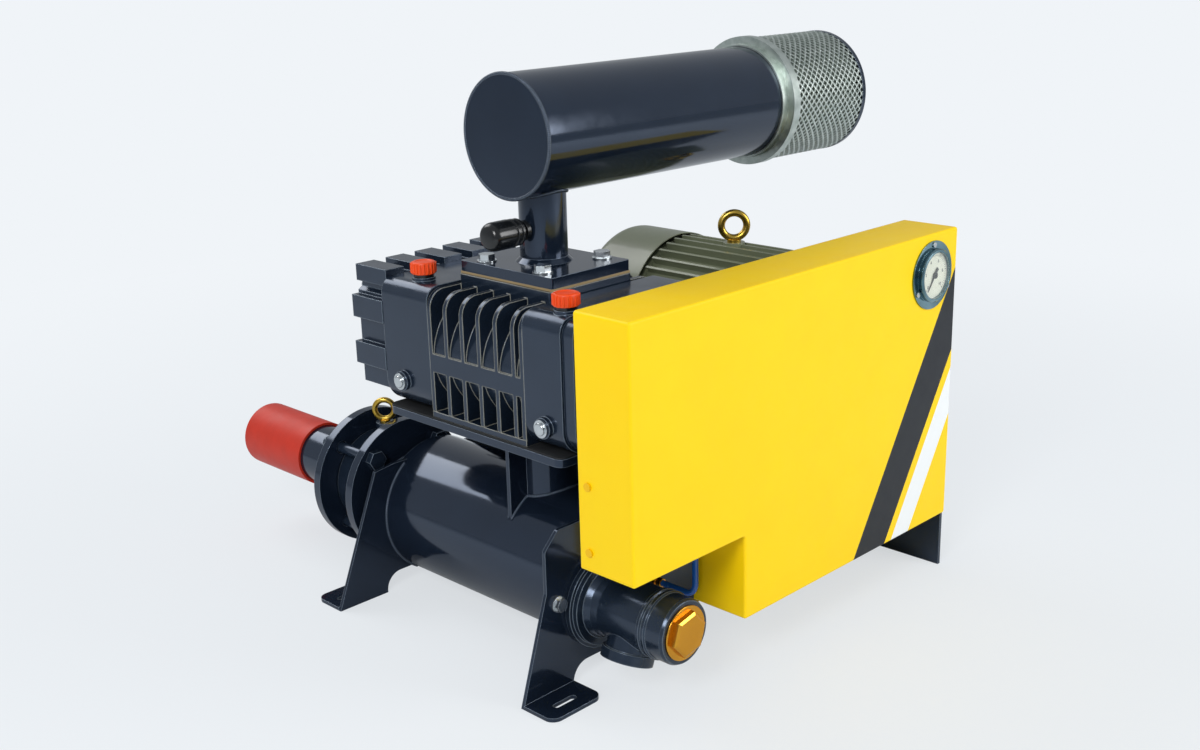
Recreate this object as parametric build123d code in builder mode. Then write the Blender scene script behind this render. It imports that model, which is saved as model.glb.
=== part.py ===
"""Roots blower package: belt drive, intake silencer and filter, on a discharge silencer base."""

from build123d import *

import os
from math import acos, asin, atan2, cos, hypot, pi, radians, sin, sqrt, tan

os.makedirs("parts", exist_ok=True)

# Datum: on the floor, in the middle of the four foot slots.
# X runs from the blower to the motor, Y along the shafts, away from the belt guard.
foot_spacing_x = 672.0
foot_spacing_y = 438.0
tube_x = -184.0
inlet_y = -49.0

# General clearances
seat_gap = 0.3
run_gap = 0.05
thread_gap = 0.2

# Base tube, which is the discharge silencer
tube_radius = 96.85
tube_wall = 5.0
tube_z = 107.0
tube_front = -137.0
tube_rear = 250.0
riser_radius = 44.45
pipe_wall = 3.6
riser_y = 4.0
gusset_reach = 74.0
gusset_thickness = 6.0
saddle_z = 290.0
saddle_thickness = 10.0
saddle_overhang = 3.0

# Feet and plates
plate = 5.0
foot_depth = 51.0
foot_slot_length = 36.0
foot_slot_width = 9.0
foot_outer_x = -193.0
foot_inner_x = -109.0
deck_z = 246.0
deck_left = 100.0
leg_x = 488.0
leg_front = -287.5
leg_rear = 300.0

# Discharge line
discharge_x = -38.0
discharge_z = 137.0
flange_radius = 100.0
flange_thickness = 13.6
flange_near = 263.2
flange_far = 339.0
flange_bolt_circle = 80.0
flange_bolt = 16.0
gasket = 2.0
pipe_end = 530.0
sleeve_radius = 48.5
sleeve_bore = 44.0
sleeve_grip = 61.3
sleeve_free = 86.6
wafer_radius = 70.0
wafer_bore = 39.0

# Relief valve on the front plate
relief_x = -58.0
relief_z = 98.0
relief_bore = 24.0
relief_end = -280.0

# Blower
rotor_z = 382.0
rotor_half_spacing = 44.0
rotor_clearance = 0.15
rotor_half_length = 88.0
housing_bottom = 302.0
housing_top = 468.0
housing_half_width = 122.0
saddle_half_width = housing_half_width + saddle_overhang
pedestal_z = 481.0
fin_thickness = 6.5
fin_pitch = 31.0
shaft_radius = 17.5
pulley_shaft_radius = 14.0
bearing_radius = 36.0
bearing_width = 17.0
bearing_start = 95.0
case_wall = 9.0
gear_case_rear = 180.0
drive_case_front = -152.0
drive_plate_front = -170.0
gear_cover_rear = 246.0
gear_module = 2.0
gear_teeth = 44
gear_start = 150.0
gear_width = 24.0

# Inlet
inlet_plate_z = 484.0
inlet_plate_top = 497.7
inlet_half_x = 67.0
inlet_half_y = 83.5
inlet_bolt_spacing = 51.0
neck_radius = 30.15
silencer_radius = 75.6
silencer_z = 656.7
silencer_left = -56.0
silencer_right = 403.0
silencer_wall = 3.0
filter_radius = 87.0
filter_end = 569.0
collar_x = 394.0
collar_radius = 89.0

# Belt drive
guard_front = -290.2
guard_back = -207.5
guard_left = -153.3
guard_right = 494.7
guard_step_x = 41.6
guard_top = 496.2
guard_bottom = 80.2
guard_step_z = 190.3
sheet = 1.5
drive_x = -rotor_half_spacing
motor_x = 312.0
motor_z = 363.0
pulley_rear = -226.0
pulley_width = 35.0
groove_pitch = 15.0
blower_pulley_radius = 75.0
motor_pulley_radius = 100.0

# Motor
motor_core_radius = 98.0
motor_fin_radius = 110.0
cowl_overlap = 2.0
motor_front = -200.0
motor_body_front = -165.0
motor_body_rear = 48.0
fan_cover_rear = 155.0
motor_foot_spacing_x = 190.0
motor_foot_front = -127.0
motor_foot_rear = 13.0
motor_shaft_radius = 14.0
motor_rotor_radius = 60.0

# Pressure gauge
gauge_x = 433.0
gauge_z = 440.5
gauge_flange_radius = 46.3
gauge_case_radius = 32.0
gauge_tube_radius = 4.0
gauge_tube_y = -217.0
tapping_x = 34.0
tapping_z = 92.0


def level(z, x=0.0, y=0.0):
    """Horizontal plane, measured from the tube axis and the inlet axis."""
    return Plane(origin=(tube_x + x, inlet_y + y, z))


def across(y, x=0.0, z=0.0):
    """Upright plane across the shafts. It faces the belt guard."""
    return Plane(origin=(tube_x + x, inlet_y + y, z), x_dir=(1, 0, 0), z_dir=(0, -1, 0))


def endwise(x, y=0.0, z=0.0):
    """Upright plane along the shafts. It faces the motor end."""
    return Plane(origin=(tube_x + x, inlet_y + y, z), x_dir=(0, 1, 0), z_dir=(1, 0, 0))


def disc(plane, radius, depth, mode=Mode.ADD):
    """Round solid from a plane along its normal, or against it for a negative depth."""
    with BuildSketch(plane) as profile:
        Circle(radius)
    extrude(profile.sketch, amount=depth, mode=mode)


def hexagon(plane, flats, depth, mode=Mode.ADD):
    """Hexagonal solid, sized across its flats."""
    with BuildSketch(plane) as profile:
        RegularPolygon(flats / 2, 6, major_radius=False)
    extrude(profile.sketch, amount=depth, mode=mode)


def hex_bolt(plane, size, grip, washer=True):
    """Bolt with its head on the plane and its shank below it."""
    lift = 0.16 * size if washer else 0.0
    if washer:
        disc(plane, 1.05 * size, lift)
    hexagon(plane.offset(lift), 1.55 * size, 0.64 * size)
    disc(plane, size / 2, -grip)


def blower_outline(inset=0.0, top=housing_top, top_radius=20.0, bottom_radius=34.0):
    """End-block outline with its large rounded lower corners."""
    half = housing_half_width - inset
    with BuildLine() as outline:
        FilletPolyline(
            (-half, housing_bottom + inset + 60),
            (-half, top - inset),
            (half, top - inset),
            (half, housing_bottom + inset + 60),
            radius=top_radius,
        )
        FilletPolyline(
            (-half, housing_bottom + inset + 60),
            (-half, housing_bottom + inset),
            (half, housing_bottom + inset),
            (half, housing_bottom + inset + 60),
            radius=bottom_radius,
        )
    make_face(outline.edges())


def eye(base, size, ring_outer, ring_bar, turn):
    """Lifting eye with its collar on the base plane."""
    collar = 0.35 * size
    disc(base, 0.95 * size, collar)
    disc(base, size / 2, -1.4 * size)
    centre = base.offset(collar + ring_outer - 0.6 * ring_bar)
    facing = Plane(
        origin=centre.origin,
        x_dir=(cos(radians(turn)), sin(radians(turn)), 0),
        z_dir=(-sin(radians(turn)), cos(radians(turn)), 0),
    )
    with BuildSketch(Plane(origin=facing.origin, x_dir=facing.x_dir, z_dir=(0, 0, 1))) as profile:
        with Locations((ring_outer - ring_bar, 0)):
            Circle(ring_bar)
    revolve(profile.sketch, axis=Axis(centre.origin, facing.z_dir))


# Base silencer: tube, end plates, riser, gussets and the saddle plate, welded
saddle_points = [(side * x, y) for side in (-1, 1) for x, y in ((84, -106), (100, 12), (84, 150))]
with BuildPart() as base_silencer:
    disc(across(tube_rear, 0, tube_z), tube_radius, tube_rear - tube_front)
    disc(level(tube_z, 0, riser_y), riser_radius, saddle_z - tube_z)
    with BuildSketch(across(riser_y + gusset_thickness / 2, 0, 0)):
        with Locations((0, (tube_z + saddle_z) / 2 + 20)):
            Rectangle(2 * gusset_reach, saddle_z - tube_z - 40)
    extrude(amount=gusset_thickness)
    with BuildSketch(level(saddle_z, 0, 14)):
        RectangleRounded(2 * saddle_half_width, 328, 12)
    extrude(amount=saddle_thickness)
    disc(
        across(tube_rear - tube_wall, 0, tube_z),
        tube_radius - tube_wall,
        tube_rear - tube_front - 2 * tube_wall,
        Mode.SUBTRACT,
    )
    disc(level(tube_z, 0, riser_y), riser_radius - pipe_wall, 300, Mode.SUBTRACT)
    disc(across(tube_rear + 1, discharge_x, discharge_z), riser_radius - pipe_wall, 12, Mode.SUBTRACT)
    disc(across(tube_front + 6, relief_x, relief_z), relief_bore, 12, Mode.SUBTRACT)
    for x, y in saddle_points:
        disc(level(saddle_z - 1, x, y), 5 + thread_gap, 20, Mode.SUBTRACT)
base_silencer.part.label = "base_silencer"
export_step(base_silencer.part, "parts/base_silencer.step")

# Front plate: left leg, cover for the tube end and cross member to the right leg
front_face = tube_front - plate
foot_slot_x = -foot_spacing_x / 2 - tube_x
foot_slot_y = foot_spacing_y / 2
arch_z = 26.0
rim = tube_radius + plate
rim_x = sqrt(rim**2 - (tube_z - arch_z) ** 2)
stud_x = -130.3
stud_z = 116.8
with BuildPart() as front_plate:
    with BuildSketch(across(tube_front)):
        with BuildLine():
            FilletPolyline(
                (foot_inner_x, 0),
                (foot_inner_x, arch_z),
                (-rim_x, arch_z),
                radius=24,
            )
            ThreePointArc((-rim_x, arch_z), (0, tube_z - rim), (rim_x, arch_z))
            FilletPolyline(
                (rim_x, arch_z),
                (leg_x, arch_z),
                (leg_x, deck_z),
                (132, deck_z),
                (98, 212),
                (-127, 212),
                (-149, 190),
                (-149, 136),
                (foot_outer_x, 0),
                radius=6,
            )
            Line((foot_outer_x, 0), (foot_inner_x, 0))
        make_face()
    extrude(amount=plate)
    with BuildSketch(level(0, (foot_outer_x + foot_inner_x) / 2, front_face - foot_depth / 2)):
        Rectangle(foot_inner_x - foot_outer_x, foot_depth)
    foot = extrude(amount=plate)
    outer = front_plate.edges().filter_by(Axis.Z).group_by(Axis.Y)[0]
    fillet(outer, radius=14)
    with BuildSketch(level(-1, foot_slot_x, -foot_slot_y - inlet_y)):
        SlotOverall(foot_slot_length, foot_slot_width)
    extrude(amount=plate + 2, mode=Mode.SUBTRACT)
    disc(across(tube_front + 1, relief_x, relief_z), relief_bore, plate + 2, Mode.SUBTRACT)
    disc(across(tube_front + 1, stud_x, stud_z), 5 + thread_gap, plate + 2, Mode.SUBTRACT)
front_plate.part.label = "front_plate"
export_step(front_plate.part, "parts/front_plate.step")

with BuildPart() as frame_bolts:
    for x, y in saddle_points:
        face = Plane(origin=(tube_x + x, inlet_y + y, saddle_z), x_dir=(1, 0, 0), z_dir=(0, 0, -1))
        hex_bolt(face, 10, 20)
    hex_bolt(across(front_face, stud_x, stud_z), 10, 19)
    behind = Plane(
        origin=(tube_x + stud_x, inlet_y + tube_front, stud_z), x_dir=(1, 0, 0), z_dir=(0, 1, 0)
    )
    hexagon(behind, 15.5, 8)
frame_bolts.part.label = "frame_bolts"
export_step(frame_bolts.part, "parts/frame_bolts.step")

# Rear plates: a left leg and, across the tube, a cross member to the right leg
rear_face = 241.0
with BuildPart() as rear_plates:
    with BuildSketch(across(rear_face + plate)):
        with BuildLine():
            FilletPolyline(
                (-103, 0),
                (-103, arch_z + 1),
                (-40, arch_z + 1),
                radius=24,
            )
            Polyline((-40, arch_z + 1), (-40, 188), (-78, 188), (-110, 184), (-185, 0), (-103, 0))
        make_face()
        with Locations((0, tube_z)):
            Circle(tube_radius + seat_gap, mode=Mode.SUBTRACT)
    extrude(amount=plate)
    with BuildSketch(level(0, -144, rear_face + plate + foot_depth / 2)):
        Rectangle(82, foot_depth)
    extrude(amount=plate)
    outer = rear_plates.edges().filter_by(Axis.Z).group_by(Axis.Y)[-1]
    fillet(outer, radius=14)
    with BuildSketch(level(-1, foot_slot_x, foot_slot_y - inlet_y)):
        SlotOverall(foot_slot_length, foot_slot_width)
    extrude(amount=plate + 2, mode=Mode.SUBTRACT)
    with BuildSketch(across(rear_face + plate)):
        with BuildLine():
            Polyline(
                (50, arch_z), (leg_x, arch_z), (leg_x, deck_z), (132, deck_z), (74, 188), (50, 188),
                close=True,
            )
        make_face()
        with Locations((0, tube_z)):
            Circle(tube_radius + seat_gap, mode=Mode.SUBTRACT)
    extrude(amount=plate)
rear_plates.part.label = "rear_plates"
export_step(rear_plates.part, "parts/rear_plates.step")

# Motor deck, slotted so that the motor slides to tighten the belts
motor_feet = [
    (motor_x + side * motor_foot_spacing_x / 2, y)
    for side in (-1, 1)
    for y in (motor_foot_front, motor_foot_rear)
]
with BuildPart() as motor_deck:
    with BuildSketch(level(deck_z, (deck_left + leg_x) / 2, (tube_front + rear_face) / 2)):
        Rectangle(leg_x - deck_left, rear_face - tube_front + 2 * plate)
    extrude(amount=plate)
    for x, y in motor_feet:
        with BuildSketch(level(deck_z - 1, x, y)):
            SlotOverall(46, 11)
        extrude(amount=plate + 2, mode=Mode.SUBTRACT)
motor_deck.part.label = "motor_deck"
export_step(motor_deck.part, "parts/motor_deck.step")

with BuildPart() as right_leg:
    with BuildSketch(endwise(leg_x)):
        with BuildLine():
            Polyline(
                (leg_front, 0),
                (leg_front, deck_z + plate),
                (leg_rear, deck_z + plate),
                (leg_rear, 0),
                (220, 0),
            )
            FilletPolyline((220, 0), (180, 70), (-80, 70), (-120, 0), radius=30)
            Line((-120, 0), (leg_front, 0))
        make_face()
    extrude(amount=plate)
    for y in (-foot_slot_y - inlet_y, foot_slot_y - inlet_y):
        with BuildSketch(level(0, leg_x + plate + foot_depth / 2, y)):
            Rectangle(foot_depth, 48)
        extrude(amount=plate)
    outer = right_leg.edges().filter_by(Axis.Z).group_by(Axis.X)[-1]
    fillet(outer, radius=10)
    for y in (-foot_slot_y - inlet_y, foot_slot_y - inlet_y):
        with BuildSketch(level(-1, foot_spacing_x / 2 - tube_x, y)):
            SlotOverall(foot_slot_length, foot_slot_width)
        extrude(amount=plate + 2, mode=Mode.SUBTRACT)
right_leg.part.label = "right_leg"
export_step(right_leg.part, "parts/right_leg.step")

# Discharge line: neck flange, wafer check valve, outlet flange with its pipe, rubber sleeve
flange_angles = (45, 135, 225, 315)
flange_holes = [
    (flange_bolt_circle * cos(radians(a)), flange_bolt_circle * sin(radians(a))) for a in flange_angles
]


def flange(y):
    """Round plate flange with its bolt holes, its far face at y."""
    disc(across(y, discharge_x, discharge_z), flange_radius, flange_thickness)
    for hx, hz in flange_holes:
        disc(
            across(y + 1, discharge_x + hx, discharge_z + hz),
            flange_bolt / 2 + 1,
            flange_thickness + 2,
            Mode.SUBTRACT,
        )


near_far = flange_near + flange_thickness
with BuildPart() as neck_flange:
    flange(near_far)
    disc(across(flange_near, discharge_x, discharge_z), riser_radius, flange_near - tube_rear)
    disc(
        across(near_far + 1, discharge_x, discharge_z),
        riser_radius - pipe_wall,
        near_far - tube_rear + 2,
        Mode.SUBTRACT,
    )
neck_flange.part.label = "neck_flange"
export_step(neck_flange.part, "parts/neck_flange.step")

wafer_near = near_far + gasket
wafer_far = flange_far - gasket
flap_y = wafer_near + 14
hinge_z = discharge_z + 30
with BuildPart() as check_valve_body:
    disc(across(wafer_far, discharge_x, discharge_z), wafer_radius, wafer_far - wafer_near)
    with BuildSketch(level(discharge_z + 40, discharge_x, (wafer_near + wafer_far) / 2)):
        Circle(13)
    extrude(amount=48)
    disc(across(wafer_near + 12, discharge_x, discharge_z), 27, 13, Mode.SUBTRACT)
    disc(
        across(wafer_far + 1, discharge_x, discharge_z),
        wafer_bore,
        wafer_far - wafer_near - 11,
        Mode.SUBTRACT,
    )
    disc(endwise(discharge_x - 36, flap_y + 3, hinge_z), 3.3, 72, Mode.SUBTRACT)
    disc(level(discharge_z + 74, discharge_x, (wafer_near + wafer_far) / 2), 4 + thread_gap, 20, Mode.SUBTRACT)
check_valve_body.part.label = "check_valve_body"
export_step(check_valve_body.part, "parts/check_valve_body.step")

with BuildPart() as check_valve_pin:
    disc(endwise(discharge_x - 36, flap_y + 3, hinge_z), 3.0, 72)
check_valve_pin.part.label = "check_valve_pin"
export_step(check_valve_pin.part, "parts/check_valve_pin.step")

with BuildPart() as check_valve_flap:
    disc(across(flap_y + 1, discharge_x, discharge_z - 2), 31, 3)
    disc(endwise(discharge_x - 10, flap_y + 3, hinge_z), 4.8, 20)
    with BuildSketch(across(flap_y + 4, discharge_x, hinge_z - 13)):
        Rectangle(12, 20)
    extrude(amount=6)
    disc(endwise(discharge_x - 10, flap_y + 3, hinge_z), 3.0 + run_gap, 20, Mode.SUBTRACT)
check_valve_flap.part.label = "check_valve_flap"
export_step(check_valve_flap.part, "parts/check_valve_flap.step")

flange_end = flange_far + flange_thickness
with BuildPart() as discharge_pipe:
    flange(flange_end)
    disc(across(pipe_end, discharge_x, discharge_z), riser_radius, pipe_end - flange_end)
    disc(
        across(pipe_end + 1, discharge_x, discharge_z),
        riser_radius - pipe_wall,
        pipe_end - flange_far + 2,
        Mode.SUBTRACT,
    )
discharge_pipe.part.label = "discharge_pipe"
export_step(discharge_pipe.part, "parts/discharge_pipe.step")

with BuildPart() as flange_bolts:
    for hx, hz in flange_holes:
        x = discharge_x + hx
        z = discharge_z + hz
        hex_bolt(across(flange_near, x, z), flange_bolt, flange_end - flange_near + 22, washer=False)
        rear = Plane(
            origin=(tube_x + x, inlet_y + flange_end, z), x_dir=(1, 0, 0), z_dir=(0, 1, 0)
        )
        hexagon(rear, 24, 13)
flange_bolts.part.label = "flange_bolts"
export_step(flange_bolts.part, "parts/flange_bolts.step")

# The sleeve's bore is stretched where it is pushed over the pipe
sleeve_far = pipe_end + sleeve_free
with BuildPart() as discharge_sleeve:
    disc(across(sleeve_far, discharge_x, discharge_z), sleeve_radius, sleeve_free + sleeve_grip)
    disc(across(sleeve_far, discharge_x, discharge_z), sleeve_bore, sleeve_free + sleeve_grip, Mode.SUBTRACT)
    disc(
        across(pipe_end + seat_gap, discharge_x, discharge_z),
        riser_radius + seat_gap,
        sleeve_grip + seat_gap,
        Mode.SUBTRACT,
    )
discharge_sleeve.part.label = "discharge_sleeve"
export_step(discharge_sleeve.part, "parts/discharge_sleeve.step")

# Relief valve: body with its downward outlet, disc, spring and brass end plug
port_tilt = 22.0
with BuildPart() as relief_body:
    with BuildSketch(Plane(origin=(tube_x + relief_x, inlet_y, relief_z), x_dir=(1, 0, 0), z_dir=(0, 0, 1))):
        with BuildLine():
            Polyline(
                (0, front_face),
                (61, front_face),
                (61, front_face - 7),
                (56, front_face - 7),
                (56, front_face - 14),
                (46, front_face - 14),
                (42, front_face - 22),
                (40, front_face - 32),
                (40, -238),
                (43, -240),
                (43, -244),
                (40.5, -246),
                (43, -248),
                (43, -252),
                (41, -254),
                (41, -276),
                (39, relief_end),
                (0, relief_end),
                close=True,
            )
        make_face()
    revolve(axis=Axis((tube_x + relief_x, inlet_y, relief_z), (0, 1, 0)))
    outlet = Plane(
        origin=(tube_x + relief_x, inlet_y - 205, relief_z),
        x_dir=(cos(radians(port_tilt)), 0, -sin(radians(port_tilt))),
        z_dir=(-sin(radians(port_tilt)), 0, -cos(radians(port_tilt))),
    )
    disc(outlet, 29, 58)
    disc(outlet.offset(45), 33, 13)
    disc(across(front_face + 1, relief_x, relief_z), relief_bore, 44, Mode.SUBTRACT)
    disc(across(front_face - 33, relief_x, relief_z), 34, 84, Mode.SUBTRACT)
    disc(across(-256, relief_x, relief_z), 28 + thread_gap, 60, Mode.SUBTRACT)
    disc(outlet, 25, 70, Mode.SUBTRACT)
relief_body.part.label = "relief_body"
export_step(relief_body.part, "parts/relief_body.step")

disc_y = front_face - 33
with BuildPart() as relief_disc:
    disc(across(disc_y, relief_x, relief_z), 29, 5)
    disc(across(disc_y - 5, relief_x, relief_z), 5, 82)
relief_disc.part.label = "relief_disc"
export_step(relief_disc.part, "parts/relief_disc.step")

plug_inner = -254.0
wire_radius = 1.5
spring_length = disc_y - 5 - plug_inner - 2 * wire_radius
with BuildPart() as relief_spring:
    with BuildLine() as coil:
        Helix(
            pitch=spring_length / 5,
            height=spring_length,
            radius=14,
            center=across(disc_y - 5 - wire_radius, relief_x, relief_z).origin,
            direction=(0, -1, 0),
        )
    with BuildSketch(Plane(origin=coil.line @ 0, z_dir=coil.line % 0)):
        Circle(wire_radius)
    sweep(path=coil.line)
relief_spring.part.label = "relief_spring"
export_step(relief_spring.part, "parts/relief_spring.step")

with BuildPart() as relief_plug:
    disc(across(plug_inner, relief_x, relief_z), 28, plug_inner - relief_end)
    disc(across(relief_end, relief_x, relief_z), 34, 2)
    hexagon(across(relief_end - 2, relief_x, relief_z), 57, 9)
    chamfer(relief_plug.faces().sort_by(Axis.Y)[0].edges(), length=1.5)
    disc(across(plug_inner + 1, relief_x, relief_z), 5 + run_gap, 24, Mode.SUBTRACT)
relief_plug.part.label = "relief_plug"
export_step(relief_plug.part, "parts/relief_plug.step")

# Blower housing: twin bores, ports, side fins and the inlet pedestal
bore_radius = 1.5 * rotor_half_spacing + rotor_clearance
half_length = rotor_half_length
fin_places = [53.7 - i * fin_pitch for i in range(5)]
cover_points = [(x, z) for x in (-92, 0, 92) for z in (320, 446)]
with BuildPart() as blower_housing:
    with BuildSketch(across(half_length)):
        with Locations((-rotor_half_spacing, rotor_z), (rotor_half_spacing, rotor_z)):
            Circle(bore_radius + 9.5)
        with Locations((0, rotor_z)):
            Rectangle(2 * rotor_half_spacing, 2 * bore_radius + 19)
        with Locations((0, rotor_z - 7)):
            Rectangle(2 * housing_half_width, 24)
        with Locations((0, housing_bottom + 4)):
            Rectangle(2 * housing_half_width, 8)
    extrude(amount=2 * half_length)
    for y in (*fin_places, half_length - fin_thickness / 2, fin_thickness / 2 - half_length):
        with BuildSketch(across(y + fin_thickness / 2)):
            blower_outline(0, housing_top, 24, 12)
        extrude(amount=fin_thickness)
    with BuildSketch(level(housing_top - 20)):
        RectangleRounded(2 * inlet_half_x + 6, 2 * half_length - 6, 6)
    extrude(amount=pedestal_z - housing_top + 20)
    for side in (-1, 1):
        disc(
            across(half_length + 1, side * rotor_half_spacing, rotor_z),
            bore_radius,
            2 * half_length + 2,
            Mode.SUBTRACT,
        )
    with BuildSketch(level(housing_bottom - 1)):
        SlotOverall(120, 44, rotation=90)
    extrude(amount=pedestal_z - housing_bottom + 2, mode=Mode.SUBTRACT)
    for x in (-1, 1):
        for y in (-1, 1):
            disc(
                level(pedestal_z + 1, x * inlet_bolt_spacing, y * inlet_bolt_spacing),
                6 + thread_gap,
                -24,
                Mode.SUBTRACT,
            )
    for x, y in saddle_points:
        disc(level(housing_bottom - 1, x, y), 5 + thread_gap, 14, Mode.SUBTRACT)
blower_housing.part.label = "blower_housing"
export_step(blower_housing.part, "parts/blower_housing.step")

def end_case(near, depth, open_side):
    """Bearing block beside the housing, its chamber open on the side away from it."""
    with BuildSketch(across(max(near, near + depth))) as block:
        blower_outline(0.0, housing_top + 3, 20, 34)
    extrude(block.sketch, amount=abs(depth))
    start = near + open_side * 26
    with BuildSketch(across(max(start, near + depth + open_side))) as chamber:
        blower_outline(case_wall, housing_top + 3, 12, 26)
    extrude(chamber.sketch, amount=abs(near + depth + open_side - start), mode=Mode.SUBTRACT)


# Oil filler bosses, in from the casing's side, and sight glasses
cap_inset = 30
cap_places = ((cap_inset - housing_half_width, 127.5), (cap_inset - 2 - housing_half_width, -135))
glass_places = ((143, 340), (-122.6, 335))


def oil_bosses(cap_place, glass_place):
    """Filler boss and sight-glass boss of one oil chamber."""
    disc(endwise(-housing_half_width, *glass_place), 13, -6)
    disc(endwise(-housing_half_width + 15, *glass_place), 7, -30, Mode.SUBTRACT)
    disc(level(housing_top, *cap_place), 15, 7)
    disc(level(housing_top - 20, *cap_place), 7, 40, Mode.SUBTRACT)


bearing_end = bearing_start + bearing_width
with BuildPart() as gear_case:
    end_case(half_length, gear_case_rear - half_length, 1)
    for side in (-1, 1):
        centre = side * rotor_half_spacing
        disc(across(half_length + 30, centre, rotor_z), shaft_radius + 0.4, 40, Mode.SUBTRACT)
        disc(
            across(half_length + 30, centre, rotor_z),
            bearing_radius + run_gap,
            half_length + 30 - bearing_start,
            Mode.SUBTRACT,
        )
    oil_bosses(cap_places[0], glass_places[0])
    for x, y in saddle_points:
        disc(level(housing_bottom - 1, x, y), 5 + thread_gap, 14, Mode.SUBTRACT)
gear_case.part.label = "gear_case"
export_step(gear_case.part, "parts/gear_case.step")

with BuildPart() as drive_case:
    end_case(-half_length, drive_case_front + half_length, -1)
    for side in (-1, 1):
        centre = side * rotor_half_spacing
        disc(across(-half_length + 10, centre, rotor_z), shaft_radius + 0.4, 40, Mode.SUBTRACT)
        disc(across(-bearing_start, centre, rotor_z), bearing_radius + run_gap, 23, Mode.SUBTRACT)
    oil_bosses(cap_places[1], glass_places[1])
    for x, y in saddle_points:
        disc(level(housing_bottom - 1, x, y), 5 + thread_gap, 14, Mode.SUBTRACT)
drive_case.part.label = "drive_case"
export_step(drive_case.part, "parts/drive_case.step")

# Timing-gear cover with its axial ribs
cover_half = 112.0
rib_height = 11.0
rib_width = 30.0
with BuildPart() as gear_cover:
    with BuildSketch(across(gear_cover_rear)):
        with BuildLine():
            Polyline(
                (-80, 292 + 12), (-cover_half, 318), (-cover_half, 444), (-105, 448), (-105, housing_top),
                (105, housing_top), (105, 448), (cover_half, 444), (cover_half, 318), (80, 304),
                close=True,
            )
        make_face()
        with Locations(*[(side * cover_half, z) for side in (-1, 1) for z in (424.5, 361)]):
            Rectangle(2 * rib_height, rib_width)
        with Locations(*[(x * 49.25, housing_top) for x in range(-2, 3)]):
            Rectangle(rib_width, 2 * rib_height)
    extrude(amount=gear_cover_rear - gear_case_rear)
    with BuildSketch(across(gear_cover_rear - case_wall)):
        with Locations((0, 385)):
            RectangleRounded(2 * (cover_half - case_wall), 2 * 66, 20)
    extrude(amount=gear_cover_rear, mode=Mode.SUBTRACT)
    chamfer(gear_cover.faces().sort_by(Axis.Y)[-1].outer_wire().edges(), length=2)
    for x, z in cover_points:
        disc(across(gear_cover_rear + 1, x, z), 4 + thread_gap, 12, Mode.SUBTRACT)
gear_cover.part.label = "gear_cover"
export_step(gear_cover.part, "parts/gear_cover.step")

plate_points = [(x, z) for x in (-108, 108) for z in (345, 430)] + [(0, 459)]
with BuildPart() as drive_cover:
    with BuildSketch(across(drive_case_front)):
        blower_outline(3, housing_top + 3, 18, 32)
    extrude(amount=drive_case_front - drive_plate_front)
    with BuildSketch(across(drive_plate_front)):
        with Locations((0, 385)):
            RectangleRounded(200, 130, 24)
    extrude(amount=drive_plate_front - guard_back)
    with BuildSketch(across(drive_case_front + 1)):
        with Locations((0, 385)):
            RectangleRounded(184, 114, 18)
    extrude(amount=drive_case_front + 1 - guard_back - 14, mode=Mode.SUBTRACT)
    disc(across(-180, drive_x, rotor_z), 24 + run_gap, 40, Mode.SUBTRACT)
    for x in (-85, 85):
        for z in (335, 435):
            disc(across(guard_back + 13, x, z), 3 + thread_gap, 20, Mode.SUBTRACT)
    for x, z in plate_points:
        disc(across(drive_plate_front + 12.5, x, z), 4 + thread_gap, 14, Mode.SUBTRACT)
drive_cover.part.label = "drive_cover"
export_step(drive_cover.part, "parts/drive_cover.step")

with BuildPart() as shaft_seal:
    disc(across(guard_back + 9, drive_x, rotor_z), 24, 8)
    disc(across(guard_back + 10, drive_x, rotor_z), pulley_shaft_radius + run_gap, 20, Mode.SUBTRACT)
shaft_seal.part.label = "shaft_seal"
export_step(shaft_seal.part, "parts/shaft_seal.step")

with BuildPart() as case_bolts:
    for x, z in cover_points:
        face = Plane(
            origin=(tube_x + x, inlet_y + gear_cover_rear, z), x_dir=(1, 0, 0), z_dir=(0, 1, 0)
        )
        disc(face, 8, 7)
        disc(face, 4, -10)
    for x, z in plate_points:
        disc(across(drive_plate_front, x, z), 6.5, 7)
        disc(across(drive_plate_front, x, z), 4, -12)
case_bolts.part.label = "case_bolts"
export_step(case_bolts.part, "parts/case_bolts.step")

# Rotors: conjugate two-lobe cycloid, lobe of one into the waist of the other
rolling_radius = rotor_half_spacing / 4


def lobe_point(angle, lobe):
    """Point of the cycloid at a contact angle from the middle of its lobe or waist."""
    roll = rolling_radius if lobe else -rolling_radius
    centre = rotor_half_spacing + roll
    span = angle + pi / 4
    turned = (rotor_half_spacing + roll) / roll * span
    start = -pi / 4
    radius_x = centre * cos(start + span) - roll * cos(start + turned)
    radius_y = centre * sin(start + span) - roll * sin(start + turned)
    size = hypot(radius_x, radius_y)
    cut = (size - rotor_clearance) / size
    return radius_x * cut, radius_y * cut


def rotor_face(turn):
    """Closed rotor outline, its first lobe at the turn angle."""
    with BuildLine() as outline:
        for quarter in range(4):
            lobe = quarter % 2 == 0
            spin = radians(turn + 90 * quarter)
            points = []
            for i in range(13):
                x, y = lobe_point(-pi / 4 + i * pi / 24, lobe)
                points.append((x * cos(spin) - y * sin(spin), x * sin(spin) + y * cos(spin)))
            Spline(*points)
    make_face(outline.edges())


def rotor(centre, turn, front, front_radius):
    """Rotor with its shaft from the pulley or bearing end to the timing gear."""
    with BuildSketch(across(half_length - rotor_clearance, centre, rotor_z)) as section:
        rotor_face(turn)
    extrude(section.sketch, amount=2 * (half_length - rotor_clearance))
    disc(across(gear_start + gear_width, centre, rotor_z), shaft_radius, gear_start + gear_width + 113)
    disc(across(-113, centre, rotor_z), front_radius, -113 - front)


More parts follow.
